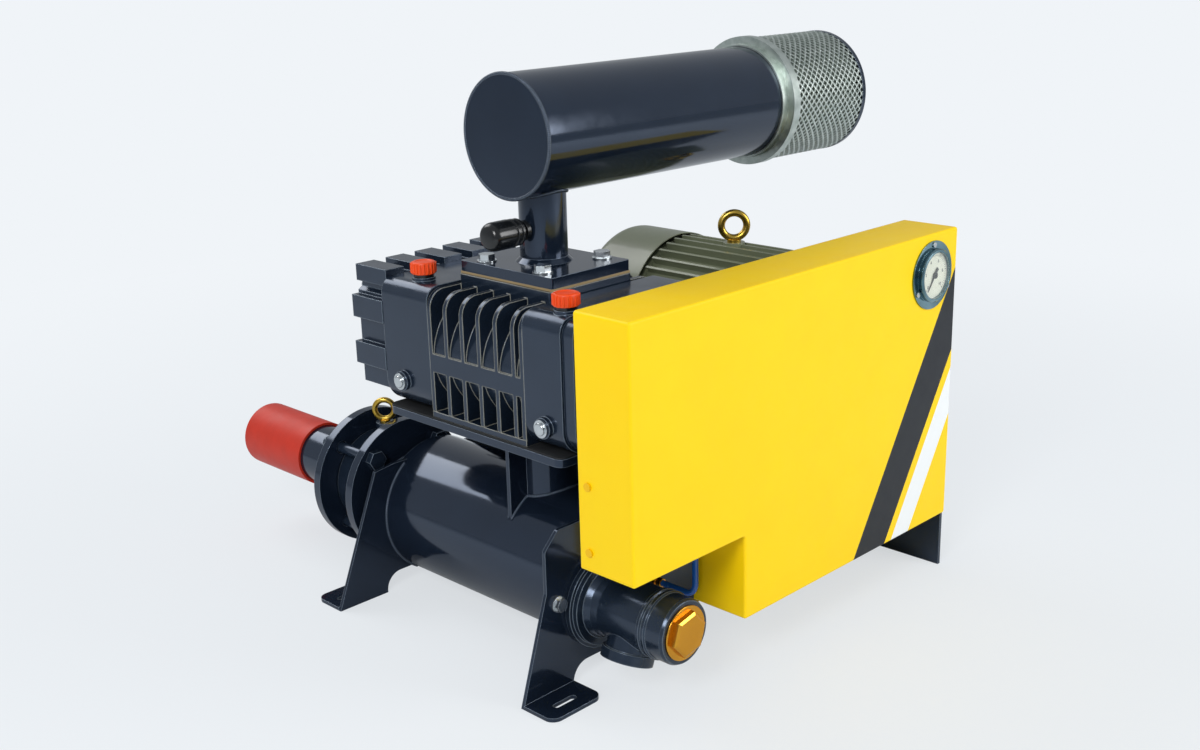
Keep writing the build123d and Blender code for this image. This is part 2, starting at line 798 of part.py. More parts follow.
pulley_front = pulley_rear - pulley_width
with BuildPart() as drive_rotor:
    rotor(drive_x, 0, pulley_front, pulley_shaft_radius)
drive_rotor.part.label = "drive_rotor"
export_step(drive_rotor.part, "parts/drive_rotor.step")

with BuildPart() as driven_rotor:
    rotor(-drive_x, 90, -116, pulley_shaft_radius)
driven_rotor.part.label = "driven_rotor"
export_step(driven_rotor.part, "parts/driven_rotor.step")

with BuildPart() as bearings:
    for side in (-1, 1):
        for y in (bearing_end, -bearing_start):
            centre = side * rotor_half_spacing
            disc(across(y, centre, rotor_z), bearing_radius, bearing_width)
            disc(across(y + 1, centre, rotor_z), shaft_radius + run_gap, bearing_width + 2, Mode.SUBTRACT)
    for y in (motor_body_front, motor_body_rear + 16):
        disc(across(y, motor_x, motor_z), 31, 16)
        disc(across(y + 1, motor_x, motor_z), motor_shaft_radius + run_gap, 18, Mode.SUBTRACT)
bearings.part.label = "bearings"
export_step(bearings.part, "parts/bearings.step")


def timing_gear(centre, offset):
    """Spur gear with straight-flanked teeth, relieved for backlash."""
    base = rotor_half_spacing * cos(radians(20))
    pressure = tan(radians(20)) - radians(20)
    root = rotor_half_spacing - 1.25 * gear_module
    tip = rotor_half_spacing + 0.95 * gear_module
    relief = 0.15 / rotor_half_spacing
    points = []
    for tooth in range(gear_teeth):
        middle = 2 * pi * (tooth + offset) / gear_teeth
        flanks = []
        for radius in (root, tip):
            slope = acos(base / radius)
            flanks.append(pi / (2 * gear_teeth) + pressure - (tan(slope) - slope) - relief)
        for radius, angle in (
            (root, middle - flanks[0]),
            (tip, middle - flanks[1]),
            (tip, middle + flanks[1]),
            (root, middle + flanks[0]),
        ):
            points.append((radius * cos(angle), radius * sin(angle)))
    with BuildSketch(across(gear_start + gear_width, centre, rotor_z)) as profile:
        with BuildLine():
            Polyline(*points, close=True)
        make_face()
        Circle(shaft_radius + run_gap, mode=Mode.SUBTRACT)
    extrude(profile.sketch, amount=gear_width)


with BuildPart() as drive_gear:
    timing_gear(drive_x, 0)
drive_gear.part.label = "drive_gear"
export_step(drive_gear.part, "parts/drive_gear.step")

with BuildPart() as driven_gear:
    timing_gear(-drive_x, 0.5)
driven_gear.part.label = "driven_gear"
export_step(driven_gear.part, "parts/driven_gear.step")

# Oil filler caps and sight glasses
with BuildPart() as cap_collars:
    for x, y in cap_places:
        disc(level(housing_top + 7, x, y), 13, 4)
        disc(level(housing_top + 6, x, y), 6, 10, Mode.SUBTRACT)
cap_collars.part.label = "cap_collars"
export_step(cap_collars.part, "parts/cap_collars.step")

with BuildPart() as oil_caps:
    for x, y in cap_places:
        hexagon(level(housing_top + 11, x, y), 24, 11)
        disc(level(housing_top + 22, x, y), 12.5, 5)
        disc(level(housing_top + 11, x, y), 5.8, -14)
oil_caps.part.label = "oil_caps"
export_step(oil_caps.part, "parts/oil_caps.step")

with BuildPart() as sight_glasses:
    for y, z in glass_places:
        disc(endwise(-housing_half_width - 6, y, z), 11, -3)
        disc(endwise(-housing_half_width - 9, y, z), 8, -3)
        disc(endwise(-housing_half_width - 6, y, z), 6.8, 12)
    fillet(sight_glasses.faces().group_by(Axis.X)[0].edges(), radius=2)
sight_glasses.part.label = "sight_glasses"
export_step(sight_glasses.part, "parts/sight_glasses.step")

# Inlet: gasket, plate with neck, bolts, pressure indicator
with BuildPart() as gaskets:
    with BuildSketch(level(pedestal_z)):
        Rectangle(2 * inlet_half_x, 2 * inlet_half_y)
        SlotOverall(120, 44, rotation=90, mode=Mode.SUBTRACT)
        with GridLocations(2 * inlet_bolt_spacing, 2 * inlet_bolt_spacing, 2, 2):
            Circle(7, mode=Mode.SUBTRACT)
    extrude(amount=inlet_plate_z - pedestal_z)
    with BuildSketch(level(saddle_z + saddle_thickness)):
        with Locations((0, 14)):
            RectangleRounded(2 * saddle_half_width - 2, 326, 11)
        SlotOverall(120, 44, rotation=90, mode=Mode.SUBTRACT)
        with Locations(*saddle_points):
            Circle(6, mode=Mode.SUBTRACT)
    extrude(amount=housing_bottom - saddle_z - saddle_thickness)
    for y in (near_far + gasket, flange_far):
        disc(across(y, discharge_x, discharge_z), wafer_radius - 1, gasket)
        disc(across(y + 1, discharge_x, discharge_z), wafer_bore, gasket + 2, Mode.SUBTRACT)
gaskets.part.label = "gaskets"
export_step(gaskets.part, "parts/gaskets.step")

neck_top = silencer_z - silencer_radius + 6
with BuildPart() as inlet_neck:
    with BuildSketch(level(inlet_plate_z)):
        RectangleRounded(2 * inlet_half_x, 2 * inlet_half_y, 3)
    extrude(amount=inlet_plate_top - inlet_plate_z)
    disc(level(inlet_plate_top), neck_radius, neck_top - inlet_plate_top)
    with BuildSketch(Plane(origin=(tube_x, inlet_y, 0), x_dir=(1, 0, 0), z_dir=(0, -1, 0))):
        with BuildLine():
            Polyline(
                (neck_radius - 1, inlet_plate_top),
                (neck_radius + 6, inlet_plate_top),
                (neck_radius, inlet_plate_top + 6),
                (neck_radius - 1, inlet_plate_top + 6),
                close=True,
            )
        make_face()
    revolve(axis=Axis((tube_x, inlet_y, 0), (0, 0, 1)))
    disc(level(inlet_plate_z - 1), neck_radius - 3, neck_top, Mode.SUBTRACT)
    disc(endwise(0, 0, 540), 8, -60, Mode.SUBTRACT)
    for x in (-1, 1):
        for y in (-1, 1):
            disc(
                level(inlet_plate_z - 1, x * inlet_bolt_spacing, y * inlet_bolt_spacing),
                6 + thread_gap,
                30,
                Mode.SUBTRACT,
            )
inlet_neck.part.label = "inlet_neck"
export_step(inlet_neck.part, "parts/inlet_neck.step")

with BuildPart() as inlet_bolts:
    for x in (-1, 1):
        for y in (-1, 1):
            hex_bolt(level(inlet_plate_top, x * inlet_bolt_spacing, y * inlet_bolt_spacing), 12, 36)
inlet_bolts.part.label = "inlet_bolts"
export_step(inlet_bolts.part, "parts/inlet_bolts.step")

with BuildPart() as filter_indicator:
    disc(endwise(-neck_radius + 5, 0, 540), 7.8, -10)
    disc(endwise(-neck_radius - seat_gap, 0, 540), 13, -6)
    disc(endwise(-neck_radius - 6, 0, 540), 18, -12)
    disc(endwise(-neck_radius - 18, 0, 540), 16.5, -4)
    disc(endwise(-neck_radius - 22, 0, 540), 18, -26)
    fillet(filter_indicator.faces().group_by(Axis.X)[0].edges(), radius=2)
    disc(endwise(-neck_radius - 48, 0, 540), 10, -5)
    disc(endwise(-neck_radius - 53, 0, 540), 6, -12)
filter_indicator.part.label = "filter_indicator"
export_step(filter_indicator.part, "parts/filter_indicator.step")

# Intake silencer and filter
with BuildPart() as intake_silencer:
    disc(endwise(silencer_left, 0, silencer_z), silencer_radius, silencer_right - silencer_left)
    fillet(intake_silencer.faces().sort_by(Axis.X)[0].edges(), radius=2.5)
    disc(
        endwise(silencer_left + silencer_wall, 0, silencer_z),
        silencer_radius - silencer_wall,
        silencer_right,
        Mode.SUBTRACT,
    )
    disc(level(silencer_z - silencer_radius - 10), neck_radius + seat_gap, 60, Mode.SUBTRACT)
intake_silencer.part.label = "intake_silencer"
export_step(intake_silencer.part, "parts/intake_silencer.step")

with BuildPart() as filter_collar:
    disc(endwise(collar_x, 0, silencer_z), collar_radius, 14)
    disc(endwise(collar_x + 4, 0, silencer_z), silencer_radius + 8, 10, Mode.SUBTRACT)
    disc(endwise(collar_x - 12, 0, silencer_z), silencer_radius + 3, 12)
    disc(endwise(collar_x - 13, 0, silencer_z), silencer_radius + seat_gap, 40, Mode.SUBTRACT)
filter_collar.part.label = "filter_collar"
export_step(filter_collar.part, "parts/filter_collar.step")

mesh_start = collar_x + 14
with BuildPart() as filter_mesh:
    disc(endwise(mesh_start, 0, silencer_z), filter_radius, filter_end - mesh_start)
    fillet(filter_mesh.faces().sort_by(Axis.X)[-1].edges(), radius=3)
    disc(
        endwise(mesh_start - 1, 0, silencer_z),
        filter_radius - 1.5,
        filter_end - mesh_start - 1,
        Mode.SUBTRACT,
    )
filter_mesh.part.label = "filter_mesh"
export_step(filter_mesh.part, "parts/filter_mesh.step")

with BuildPart() as filter_element:
    disc(endwise(silencer_right + 0.2, 0, silencer_z), 76, filter_end - 2 - silencer_right - 0.4)
    disc(endwise(silencer_right, 0, silencer_z), 56, filter_end - silencer_right - 12, Mode.SUBTRACT)
filter_element.part.label = "filter_element"
export_step(filter_element.part, "parts/filter_element.step")
# Belt drive: grooved pulleys and two V-belts
groove_ys = [pulley_rear - pulley_width / 2 + side * groove_pitch / 2 for side in (-1, 1)]
pulley_rim = 2.75
groove_depth = 13.0
groove_half = 6.6


def pulley(centre_x, centre_z, radius, bore):
    """V-belt pulley with a web and a hub."""
    disc(across(pulley_rear, centre_x, centre_z), radius + pulley_rim, pulley_width)
    for y in groove_ys:
        with BuildSketch(level(centre_z, centre_x)) as groove:
            with BuildLine():
                Polyline(
                    (radius + pulley_rim + 1, y - groove_half - 0.3),
                    (radius + pulley_rim - groove_depth, y - groove_half + 4.4),
                    (radius + pulley_rim - groove_depth, y + groove_half - 4.4),
                    (radius + pulley_rim + 1, y + groove_half + 0.3),
                    close=True,
                )
            make_face()
        centre_line = Axis((tube_x + centre_x, inlet_y, centre_z), (0, 1, 0))
        revolve(groove.sketch, axis=centre_line, mode=Mode.SUBTRACT)
    for y in (pulley_rear + 1, pulley_rear - pulley_width + 9):
        with BuildSketch(across(y, centre_x, centre_z)) as recess:
            Circle(radius - 18)
            Circle(26, mode=Mode.SUBTRACT)
        extrude(recess.sketch, amount=10, mode=Mode.SUBTRACT)
    disc(across(pulley_rear + 1, centre_x, centre_z), bore + run_gap, pulley_width + 2, Mode.SUBTRACT)


with BuildPart() as blower_pulley:
    pulley(drive_x, rotor_z, blower_pulley_radius, pulley_shaft_radius)
blower_pulley.part.label = "blower_pulley"
export_step(blower_pulley.part, "parts/blower_pulley.step")

with BuildPart() as motor_pulley:
    pulley(motor_x, motor_z, motor_pulley_radius, motor_shaft_radius)
motor_pulley.part.label = "motor_pulley"
export_step(motor_pulley.part, "parts/motor_pulley.step")

span = hypot(motor_x - drive_x, motor_z - rotor_z)
lean = atan2(motor_z - rotor_z, motor_x - drive_x)
wrap = asin((motor_pulley_radius - blower_pulley_radius) / span)


def belt_loop(growth):
    """Open-belt line round both pulleys at a growth over their pitch radius."""
    upper = pi / 2 + lean + wrap
    lower = -pi / 2 + lean - wrap
    near = blower_pulley_radius + growth
    far = motor_pulley_radius + growth
    tangents = [
        (drive_x + near * cos(upper), rotor_z + near * sin(upper)),
        (motor_x + far * cos(upper), motor_z + far * sin(upper)),
        (motor_x + far * cos(lower), motor_z + far * sin(lower)),
        (drive_x + near * cos(lower), rotor_z + near * sin(lower)),
    ]
    Line(tangents[0], tangents[1])
    ThreePointArc(tangents[1], (motor_x + far * cos(lean), motor_z + far * sin(lean)), tangents[2])
    Line(tangents[2], tangents[3])
    ThreePointArc(tangents[3], (drive_x - near * cos(lean), rotor_z - near * sin(lean)), tangents[0])


belt_top = 2.6
belt_bottom = -7.4
belt_top_half = 6.2
belt_bottom_half = 2.85
with BuildPart() as v_belts:
    for y in groove_ys:
        with BuildLine(across(y)) as loop:
            belt_loop(0.0)
        with BuildSketch(Plane(origin=loop.line @ 0, x_dir=(0, 1, 0), z_dir=loop.line % 0)):
            with BuildLine():
                Polyline(
                    (-belt_top_half, belt_top),
                    (belt_top_half, belt_top),
                    (belt_bottom_half, belt_bottom),
                    (-belt_bottom_half, belt_bottom),
                    close=True,
                )
            make_face()
        sweep(path=loop.line)
v_belts.part.label = "v_belts"
export_step(v_belts.part, "parts/v_belts.step")

# Belt guard: folded cover and the tray behind it
tray_gap = 0.3
tray_depth = 22.0


def guard_outline(inset):
    """Guard outline with the step under the blower end."""
    with BuildLine() as outline:
        Polyline(
            (guard_left + inset, guard_step_z + inset),
            (guard_left + inset, guard_top - inset),
            (guard_right - inset, guard_top - inset),
            (guard_right - inset, guard_bottom + inset),
            (guard_step_x + inset, guard_bottom + inset),
            (guard_step_x + inset, guard_step_z + inset),
            close=True,
        )
    make_face(outline.edges())


screw_y = -222.5
screw_points = [(guard_left, 295.4, -1), (guard_left, 215.2, -1), (guard_right, 300, 1), (guard_right, 440, 1)]
with BuildPart() as belt_guard:
    with BuildSketch(across(guard_back)):
        guard_outline(0)
    extrude(amount=guard_back - guard_front)
    fillet(belt_guard.edges().filter_by(Axis.Y), radius=4)
    fillet(belt_guard.faces().sort_by(Axis.Y)[0].outer_wire().edges(), radius=3)
    offset(amount=-sheet, openings=belt_guard.faces().sort_by(Axis.Y)[-1])
    disc(across(guard_front + 5, gauge_x, gauge_z), gauge_case_radius + 0.5, 10, Mode.SUBTRACT)
    with BuildSketch(level(guard_bottom - 1, leg_x + plate / 2, (guard_front + guard_back) / 2)):
        Rectangle(plate + 1, guard_back - guard_front - 2 * sheet)
    extrude(amount=6, mode=Mode.SUBTRACT)
    with BuildSketch(level(guard_bottom - 1, leg_x + plate / 2, guard_back)):
        Rectangle(plate + 1, 40)
    extrude(amount=6, mode=Mode.SUBTRACT)
    disc(level(guard_step_z - 2, tapping_x, gauge_tube_y), 5.5, 8, Mode.SUBTRACT)
    for x, z, side in screw_points:
        disc(endwise(x - 3, screw_y, z), 2.6, 6, Mode.SUBTRACT)
belt_guard.part.label = "belt_guard"
export_step(belt_guard.part, "parts/belt_guard.step")

with BuildPart() as guard_tray:
    with BuildSketch(across(guard_back)):
        guard_outline(sheet + tray_gap)
    extrude(amount=tray_depth)
    fillet(guard_tray.edges().filter_by(Axis.Y), radius=3)
    offset(amount=-sheet, openings=guard_tray.faces().sort_by(Axis.Y)[0])
    disc(across(guard_back + 3, drive_x, rotor_z), 22, 8, Mode.SUBTRACT)
    with BuildSketch(across(guard_back + 3, motor_x, motor_z)):
        SlotOverall(90, 50)
    extrude(amount=8, mode=Mode.SUBTRACT)
    with BuildSketch(endwise(leg_x - 0.5)):
        with Locations((guard_back - tray_depth / 2, deck_z / 2)):
            Rectangle(tray_depth + 2, deck_z + 12)
    extrude(amount=20, mode=Mode.SUBTRACT)
    disc(level(guard_step_z - 2, tapping_x, gauge_tube_y), 5.5, 10, Mode.SUBTRACT)
    for x, z, side in screw_points:
        disc(endwise(x - 8, screw_y, z), 2.2, 16, Mode.SUBTRACT)
    for x in (-85, 85):
        for z in (335, 435):
            disc(across(guard_back + 3, x, z), 3 + thread_gap, 8, Mode.SUBTRACT)
guard_tray.part.label = "guard_tray"
export_step(guard_tray.part, "parts/guard_tray.step")

with BuildPart() as guard_screws:
    for x, z, side in screw_points:
        disc(endwise(x, screw_y, z), 5, side * 2.4)
        disc(endwise(x, screw_y, z), 2, -side * 9)
    for x in (-85, 85):
        for z in (335, 435):
            disc(across(guard_back - sheet, x, z), 5.5, 4)
            disc(across(guard_back - sheet, x, z), 3, -12)
    for i in range(3):
        a = radians(90 + 120 * i)
        place = (gauge_x + 41 * cos(a), gauge_z + 41 * sin(a))
        disc(across(guard_front - 2, *place), 3.6, 2)
        disc(across(guard_front - 2, *place), 1.8, -1.8)
guard_screws.part.label = "guard_screws"
export_step(guard_screws.part, "parts/guard_screws.step")

# Motor
with BuildPart() as motor_body:
    disc(across(motor_body_rear, motor_x, motor_z), motor_core_radius, motor_body_rear - motor_body_front)
    with BuildSketch(across(motor_body_rear - 4, motor_x, motor_z)):
        with PolarLocations(0, 40):
            with Locations((motor_core_radius + 5, 0)):
                Rectangle(14, 3.4)
    extrude(amount=motor_body_rear - motor_body_front - 8)
    for side in (-1, 1):
        foot_x = motor_x + side * motor_foot_spacing_x / 2
        foot_y = (motor_foot_front + motor_foot_rear) / 2
        with BuildSketch(level(deck_z + plate, foot_x - side * 6, foot_y)):
            RectangleRounded(48, 180, 6)
        extrude(amount=14)
        with BuildSketch(level(deck_z + plate, foot_x - side * 23, foot_y)):
            Rectangle(14, 150)
        extrude(amount=motor_z - deck_z - plate - 60)
    with BuildSketch(level(motor_z + 80, motor_x, -50)):
        Circle(15)
    extrude(amount=motor_fin_radius - 80 + 2)
    with BuildSketch(endwise(motor_x + 80, -115, motor_z + 10)):
        Rectangle(96, 80)
    extrude(amount=motor_fin_radius - 80 + 2)
    disc(
        across(motor_body_rear + 1, motor_x, motor_z),
        motor_rotor_radius + 1,
        motor_body_rear - motor_body_front + 2,
        Mode.SUBTRACT,
    )
    disc(level(motor_z + 85, motor_x, -50), 5 + thread_gap, 40, Mode.SUBTRACT)
    for x, y in motor_feet:
        disc(level(deck_z, x, y), 5.5, 30, Mode.SUBTRACT)
motor_body.part.label = "motor_body"
export_step(motor_body.part, "parts/motor_body.step")

with BuildPart() as motor_shields:
    with BuildSketch(level(motor_z, motor_x)):
        with BuildLine():
            Polyline(
                (motor_shaft_radius + 8, motor_front + 3),
                (45, motor_front),
                (62, motor_front + 4),
                (88, motor_body_front - 12),
                (104, motor_body_front - 8),
                (104, motor_body_front),
                (motor_shaft_radius + 8, motor_body_front),
                close=True,
            )
        make_face()
    revolve(axis=Axis((tube_x + motor_x, inlet_y, motor_z), (0, 1, 0)))
    disc(across(motor_body_front + 1, motor_x, motor_z), 31 + run_gap, 18, Mode.SUBTRACT)
    disc(across(motor_body_rear + 12, motor_x, motor_z), 100, 12)
    disc(across(motor_body_rear + 20, motor_x, motor_z), 45, 20)
    disc(across(motor_body_rear + 16, motor_x, motor_z), 31 + run_gap, 17, Mode.SUBTRACT)
    disc(across(motor_body_rear + 30, motor_x, motor_z), motor_shaft_radius + 2, 60, Mode.SUBTRACT)
motor_shields.part.label = "motor_shields"
export_step(motor_shields.part, "parts/motor_shields.step")

with BuildPart() as motor_rotor:
    disc(across(110, motor_x, motor_z), motor_shaft_radius, 110 - pulley_front)
    disc(across(motor_body_rear - 25, motor_x, motor_z), motor_rotor_radius, 165)
motor_rotor.part.label = "motor_rotor"
export_step(motor_rotor.part, "parts/motor_rotor.step")

fan_y = 106.0
with BuildPart() as motor_fan:
    with BuildSketch(across(fan_y, motor_x, motor_z)):
        Circle(26)
        with PolarLocations(0, 7):
            with Locations((54, 0)):
                Rectangle(66, 4)
        Circle(motor_shaft_radius + run_gap, mode=Mode.SUBTRACT)
    extrude(amount=26)
    with BuildSketch(across(fan_y - 22, motor_x, motor_z)):
        Circle(86)
        Circle(motor_shaft_radius + run_gap, mode=Mode.SUBTRACT)
    extrude(amount=4)
motor_fan.part.label = "motor_fan"
export_step(motor_fan.part, "parts/motor_fan.step")

cowl_radius = motor_fin_radius + cowl_overlap
with BuildPart() as fan_cowl:
    disc(across(fan_cover_rear, motor_x, motor_z), cowl_radius, fan_cover_rear - motor_body_rear)
    fillet(fan_cowl.faces().sort_by(Axis.Y)[-1].edges(), radius=22)
    offset(amount=-1.5, openings=fan_cowl.faces().sort_by(Axis.Y)[0])
    with BuildSketch(across(fan_cover_rear + 1, motor_x, motor_z)):
        for ring, count in ((34, 10), (56, 16), (78, 22)):
            with PolarLocations(ring, count):
                Rectangle(14, 7)
    extrude(amount=4, mode=Mode.SUBTRACT)
fan_cowl.part.label = "fan_cowl"
export_step(fan_cowl.part, "parts/fan_cowl.step")

with BuildPart() as terminal_box:
    with BuildSketch(endwise(motor_x + motor_fin_radius + 2, -115, motor_z + 10)):
        RectangleRounded(96, 80, 8)
    extrude(amount=44)
    chamfer(terminal_box.faces().sort_by(Axis.X)[-1].edges(), length=4)
    with BuildSketch(level(motor_z - 30, motor_x + motor_fin_radius + 24, -130)):
        RegularPolygon(12, 6)
    extrude(amount=-12)
terminal_box.part.label = "terminal_box"
export_step(terminal_box.part, "parts/terminal_box.step")

with BuildPart() as lifting_eyes:
    eye(level(motor_z + motor_fin_radius + 2, motor_x, -50), 10, 22.5, 5, -45)
    eye(level(discharge_z + 88, discharge_x, (wafer_near + wafer_far) / 2), 8, 18, 4, -45)
lifting_eyes.part.label = "lifting_eyes"
export_step(lifting_eyes.part, "parts/lifting_eyes.step")

with BuildPart() as motor_bolts:
    for x, y in motor_feet:
        hex_bolt(level(deck_z + plate + 14, x, y), 10, 32)
        below = Plane(origin=(tube_x + x, inlet_y + y, deck_z), x_dir=(1, 0, 0), z_dir=(0, 0, -1))
        hexagon(below, 16, 8)
motor_bolts.part.label = "motor_bolts"
export_step(motor_bolts.part, "parts/motor_bolts.step")

# Pressure gauge in the guard, with its tube from the front plate
bezel_front = guard_front - 9.0
with BuildPart() as gauge_case:
    disc(across(guard_front, gauge_x, gauge_z), gauge_flange_radius, 2)
    disc(across(guard_front, gauge_x, gauge_z), 36, 9)
    chamfer(gauge_case.faces().sort_by(Axis.Y)[0].edges(), length=1.5)
    disc(across(guard_front + 30, gauge_x, gauge_z), gauge_case_radius, 30)
    disc(across(guard_front + 44, gauge_x, gauge_z), 7, 15)
    disc(across(bezel_front + 6, gauge_x, gauge_z), 31.5, 10, Mode.SUBTRACT)
    for i in range(3):
        a = radians(90 + 120 * i)
        disc(
            across(guard_front + 1, gauge_x + 41 * cos(a), gauge_z + 41 * sin(a)), 2, 6, Mode.SUBTRACT
        )
gauge_case.part.label = "gauge_case"
export_step(gauge_case.part, "parts/gauge_case.step")

with BuildPart() as gauge_dial:
    disc(across(bezel_front + 6, gauge_x, gauge_z), 31.2, 1)
    disc(across(bezel_front + 5, gauge_x, gauge_z), 1.5, 3)
gauge_dial.part.label = "gauge_dial"
export_step(gauge_dial.part, "parts/gauge_dial.step")

pointer_angle = radians(233)
with BuildPart() as gauge_pointer:
    with BuildSketch(across(bezel_front + 4.2, gauge_x, gauge_z)):
        Circle(3.5)
        with BuildLine():
            Polyline(
                (26 * cos(pointer_angle), 26 * sin(pointer_angle)),
                (-10 * cos(pointer_angle) + 1.4 * sin(pointer_angle),
                 -10 * sin(pointer_angle) - 1.4 * cos(pointer_angle)),
                (-10 * cos(pointer_angle) - 1.4 * sin(pointer_angle),
                 -10 * sin(pointer_angle) + 1.4 * cos(pointer_angle)),
                close=True,
            )
        make_face()
        Circle(1.5 + run_gap, mode=Mode.SUBTRACT)
    extrude(amount=0.8)
gauge_pointer.part.label = "gauge_pointer"
export_step(gauge_pointer.part, "parts/gauge_pointer.step")

with BuildPart() as gauge_glass:
    disc(across(bezel_front + 1.8, gauge_x, gauge_z), 31.3, 1.6)
gauge_glass.part.label = "gauge_glass"
export_step(gauge_glass.part, "parts/gauge_glass.step")

with BuildPart() as gauge_fittings:
    hexagon(across(front_face, tapping_x, tapping_z), 14, 12)
    disc(across(front_face - 12, tapping_x, tapping_z), 6, 8)
    hexagon(across(guard_front + 58, gauge_x, gauge_z), 14, 14)
    disc(across(front_face - 8, tapping_x, tapping_z), gauge_tube_radius + run_gap, 20, Mode.SUBTRACT)
    disc(across(guard_front + 60, gauge_x, gauge_z), gauge_tube_radius + run_gap, 10, Mode.SUBTRACT)
gauge_fittings.part.label = "gauge_fittings"
export_step(gauge_fittings.part, "parts/gauge_fittings.step")

tube_top = 478.0
start_y = guard_front + 50
tube_route = [
    (gauge_x, start_y, gauge_z),
    (gauge_x, gauge_tube_y, gauge_z),
    (gauge_x, gauge_tube_y, tube_top),
    (tapping_x, gauge_tube_y, tube_top),
    (tapping_x, gauge_tube_y, tapping_z),
    (tapping_x, front_face - 8, tapping_z),
]
with BuildPart() as gauge_tube:
    with BuildLine() as route:
        FilletPolyline(*[(tube_x + x, inlet_y + y, z) for x, y, z in tube_route], radius=16)
    with BuildSketch(Plane(origin=route.line @ 0, z_dir=route.line % 0)):
        Circle(gauge_tube_radius)
    sweep(path=route.line)
gauge_tube.part.label = "gauge_tube"
export_step(gauge_tube.part, "parts/gauge_tube.step")
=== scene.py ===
"""Looks of a belt-driven roots blower package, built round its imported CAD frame."""

import logging
import math
from dataclasses import dataclass
from enum import Enum
from typing import Iterable, Sequence

import bmesh
import bpy
from mathutils import Matrix, Vector


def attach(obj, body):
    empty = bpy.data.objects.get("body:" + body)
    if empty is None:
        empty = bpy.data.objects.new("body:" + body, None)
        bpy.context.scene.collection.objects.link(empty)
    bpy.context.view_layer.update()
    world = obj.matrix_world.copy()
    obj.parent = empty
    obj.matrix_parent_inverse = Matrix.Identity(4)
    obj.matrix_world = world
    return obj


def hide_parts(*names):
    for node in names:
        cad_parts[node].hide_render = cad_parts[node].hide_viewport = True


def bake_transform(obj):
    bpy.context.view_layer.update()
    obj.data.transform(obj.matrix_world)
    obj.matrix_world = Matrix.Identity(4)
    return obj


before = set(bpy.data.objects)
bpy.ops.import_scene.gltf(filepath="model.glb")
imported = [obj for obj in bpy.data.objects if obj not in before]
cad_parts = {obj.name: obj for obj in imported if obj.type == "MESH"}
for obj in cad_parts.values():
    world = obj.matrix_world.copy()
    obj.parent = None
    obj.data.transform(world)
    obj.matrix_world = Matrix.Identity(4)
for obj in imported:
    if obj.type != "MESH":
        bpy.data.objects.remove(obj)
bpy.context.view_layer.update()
log = logging.getLogger("blower_package")

Tree = bpy.types.NodeTree
Socket = bpy.types.NodeSocket
Piece = bpy.types.Object
Values = dict[str, float]

PACKAGE = "package"
TUBE_X = -0.184
INLET_Y = -0.049
SILENCER_Z = 656.7
RELIEF_X = -58.0
RELIEF_Z = 98.0
GAUGE_X = 433.0
GAUGE_Z = 440.5
SHARP_ANGLE = 35.0


def mm(value: float) -> float:
    """Millimetres as metres."""
    return value / 1000.0


def at(x: float, y: float, z: float) -> Vector:
    """Point measured in millimetres from the base tube's axis, the inlet's axis and the floor."""
    return Vector((TUBE_X + mm(x), INLET_Y + mm(y), mm(z)))


def stand(spot: Vector, quarter_turns: int = 0, axis: str = "X") -> Matrix:
    """Matrix that turns local Z by quarter turns about an axis, at a spot."""
    return Matrix.Translation(spot) @ Matrix.Rotation(quarter_turns * math.pi / 2, 4, axis)


def circle(radius: float, steps: int = 90) -> list[tuple[float, float]]:
    """Distances across and up of points evenly spaced round a circle."""
    turns = [2 * math.pi * i / steps for i in range(steps)]
    return [(radius * math.cos(turn), radius * math.sin(turn)) for turn in turns]


def linear(hex_colour: str) -> tuple[float, float, float, float]:
    """Turns an sRGB hex colour into linear RGBA.

    Args:
        hex_colour: colour such as "#1c2229".

    Returns:
        Linear red, green, blue and an alpha of one.
    """
    raw = [int(hex_colour[i : i + 2], 16) / 255 for i in (1, 3, 5)]
    lin = [c / 12.92 if c <= 0.04045 else ((c + 0.055) / 1.055) ** 2.4 for c in raw]
    return (lin[0], lin[1], lin[2], 1.0)


def add_node(tree: Tree, kind: str, inputs: dict | None = None, **settings: object) -> bpy.types.Node:
    """Adds a node with its settings, values and links.

    Args:
        tree: shader or geometry tree that gets the node.
        kind: the node's type name.
        inputs: input name or number to a value, or to the socket that feeds it.
        settings: the node's own properties.

    Returns:
        The new node.
    """
    node = tree.nodes.new(kind)
    for key, value in settings.items():
        setattr(node, key, value)
    for key, value in (inputs or {}).items():
        socket = node.inputs[key]
        if isinstance(value, Socket):
            tree.links.new(value, socket)
        else:
            socket.default_value = value
    return node


def made(tree: Tree, kind: str, inputs: dict | None = None, **settings: object) -> Socket:
    """First output of a new node."""
    return add_node(tree, kind, inputs, **settings).outputs[0]


def calc(tree: Tree, operation: str, *terms: float | Socket) -> Socket:
    """Result of one arithmetic step on numbers or sockets."""
    return made(tree, "ShaderNodeMath", dict(enumerate(terms)), operation=operation)


def vector(tree: Tree, **parts: float | Socket) -> Socket:
    """Vector from its X, Y and Z, each zero if it isn't given."""
    return made(tree, "ShaderNodeCombineXYZ", parts)


def mixed(tree: Tree, share: Socket, first: object, second: object) -> Socket:
    """Colour that goes from the first to the second with the share."""
    return add_node(tree, "ShaderNodeMix", {0: share, 6: first, 7: second}, data_type="RGBA").outputs[2]


def noise(tree: Tree, where: Socket, size_mm: float, detail: float, roughness: float = 0.5) -> Socket:
    """Noise whose clouds are about the given size across."""
    inputs = {"Vector": where, "Scale": 1000 / size_mm, "Detail": detail, "Roughness": roughness}
    return add_node(tree, "ShaderNodeTexNoise", inputs).outputs["Fac"]


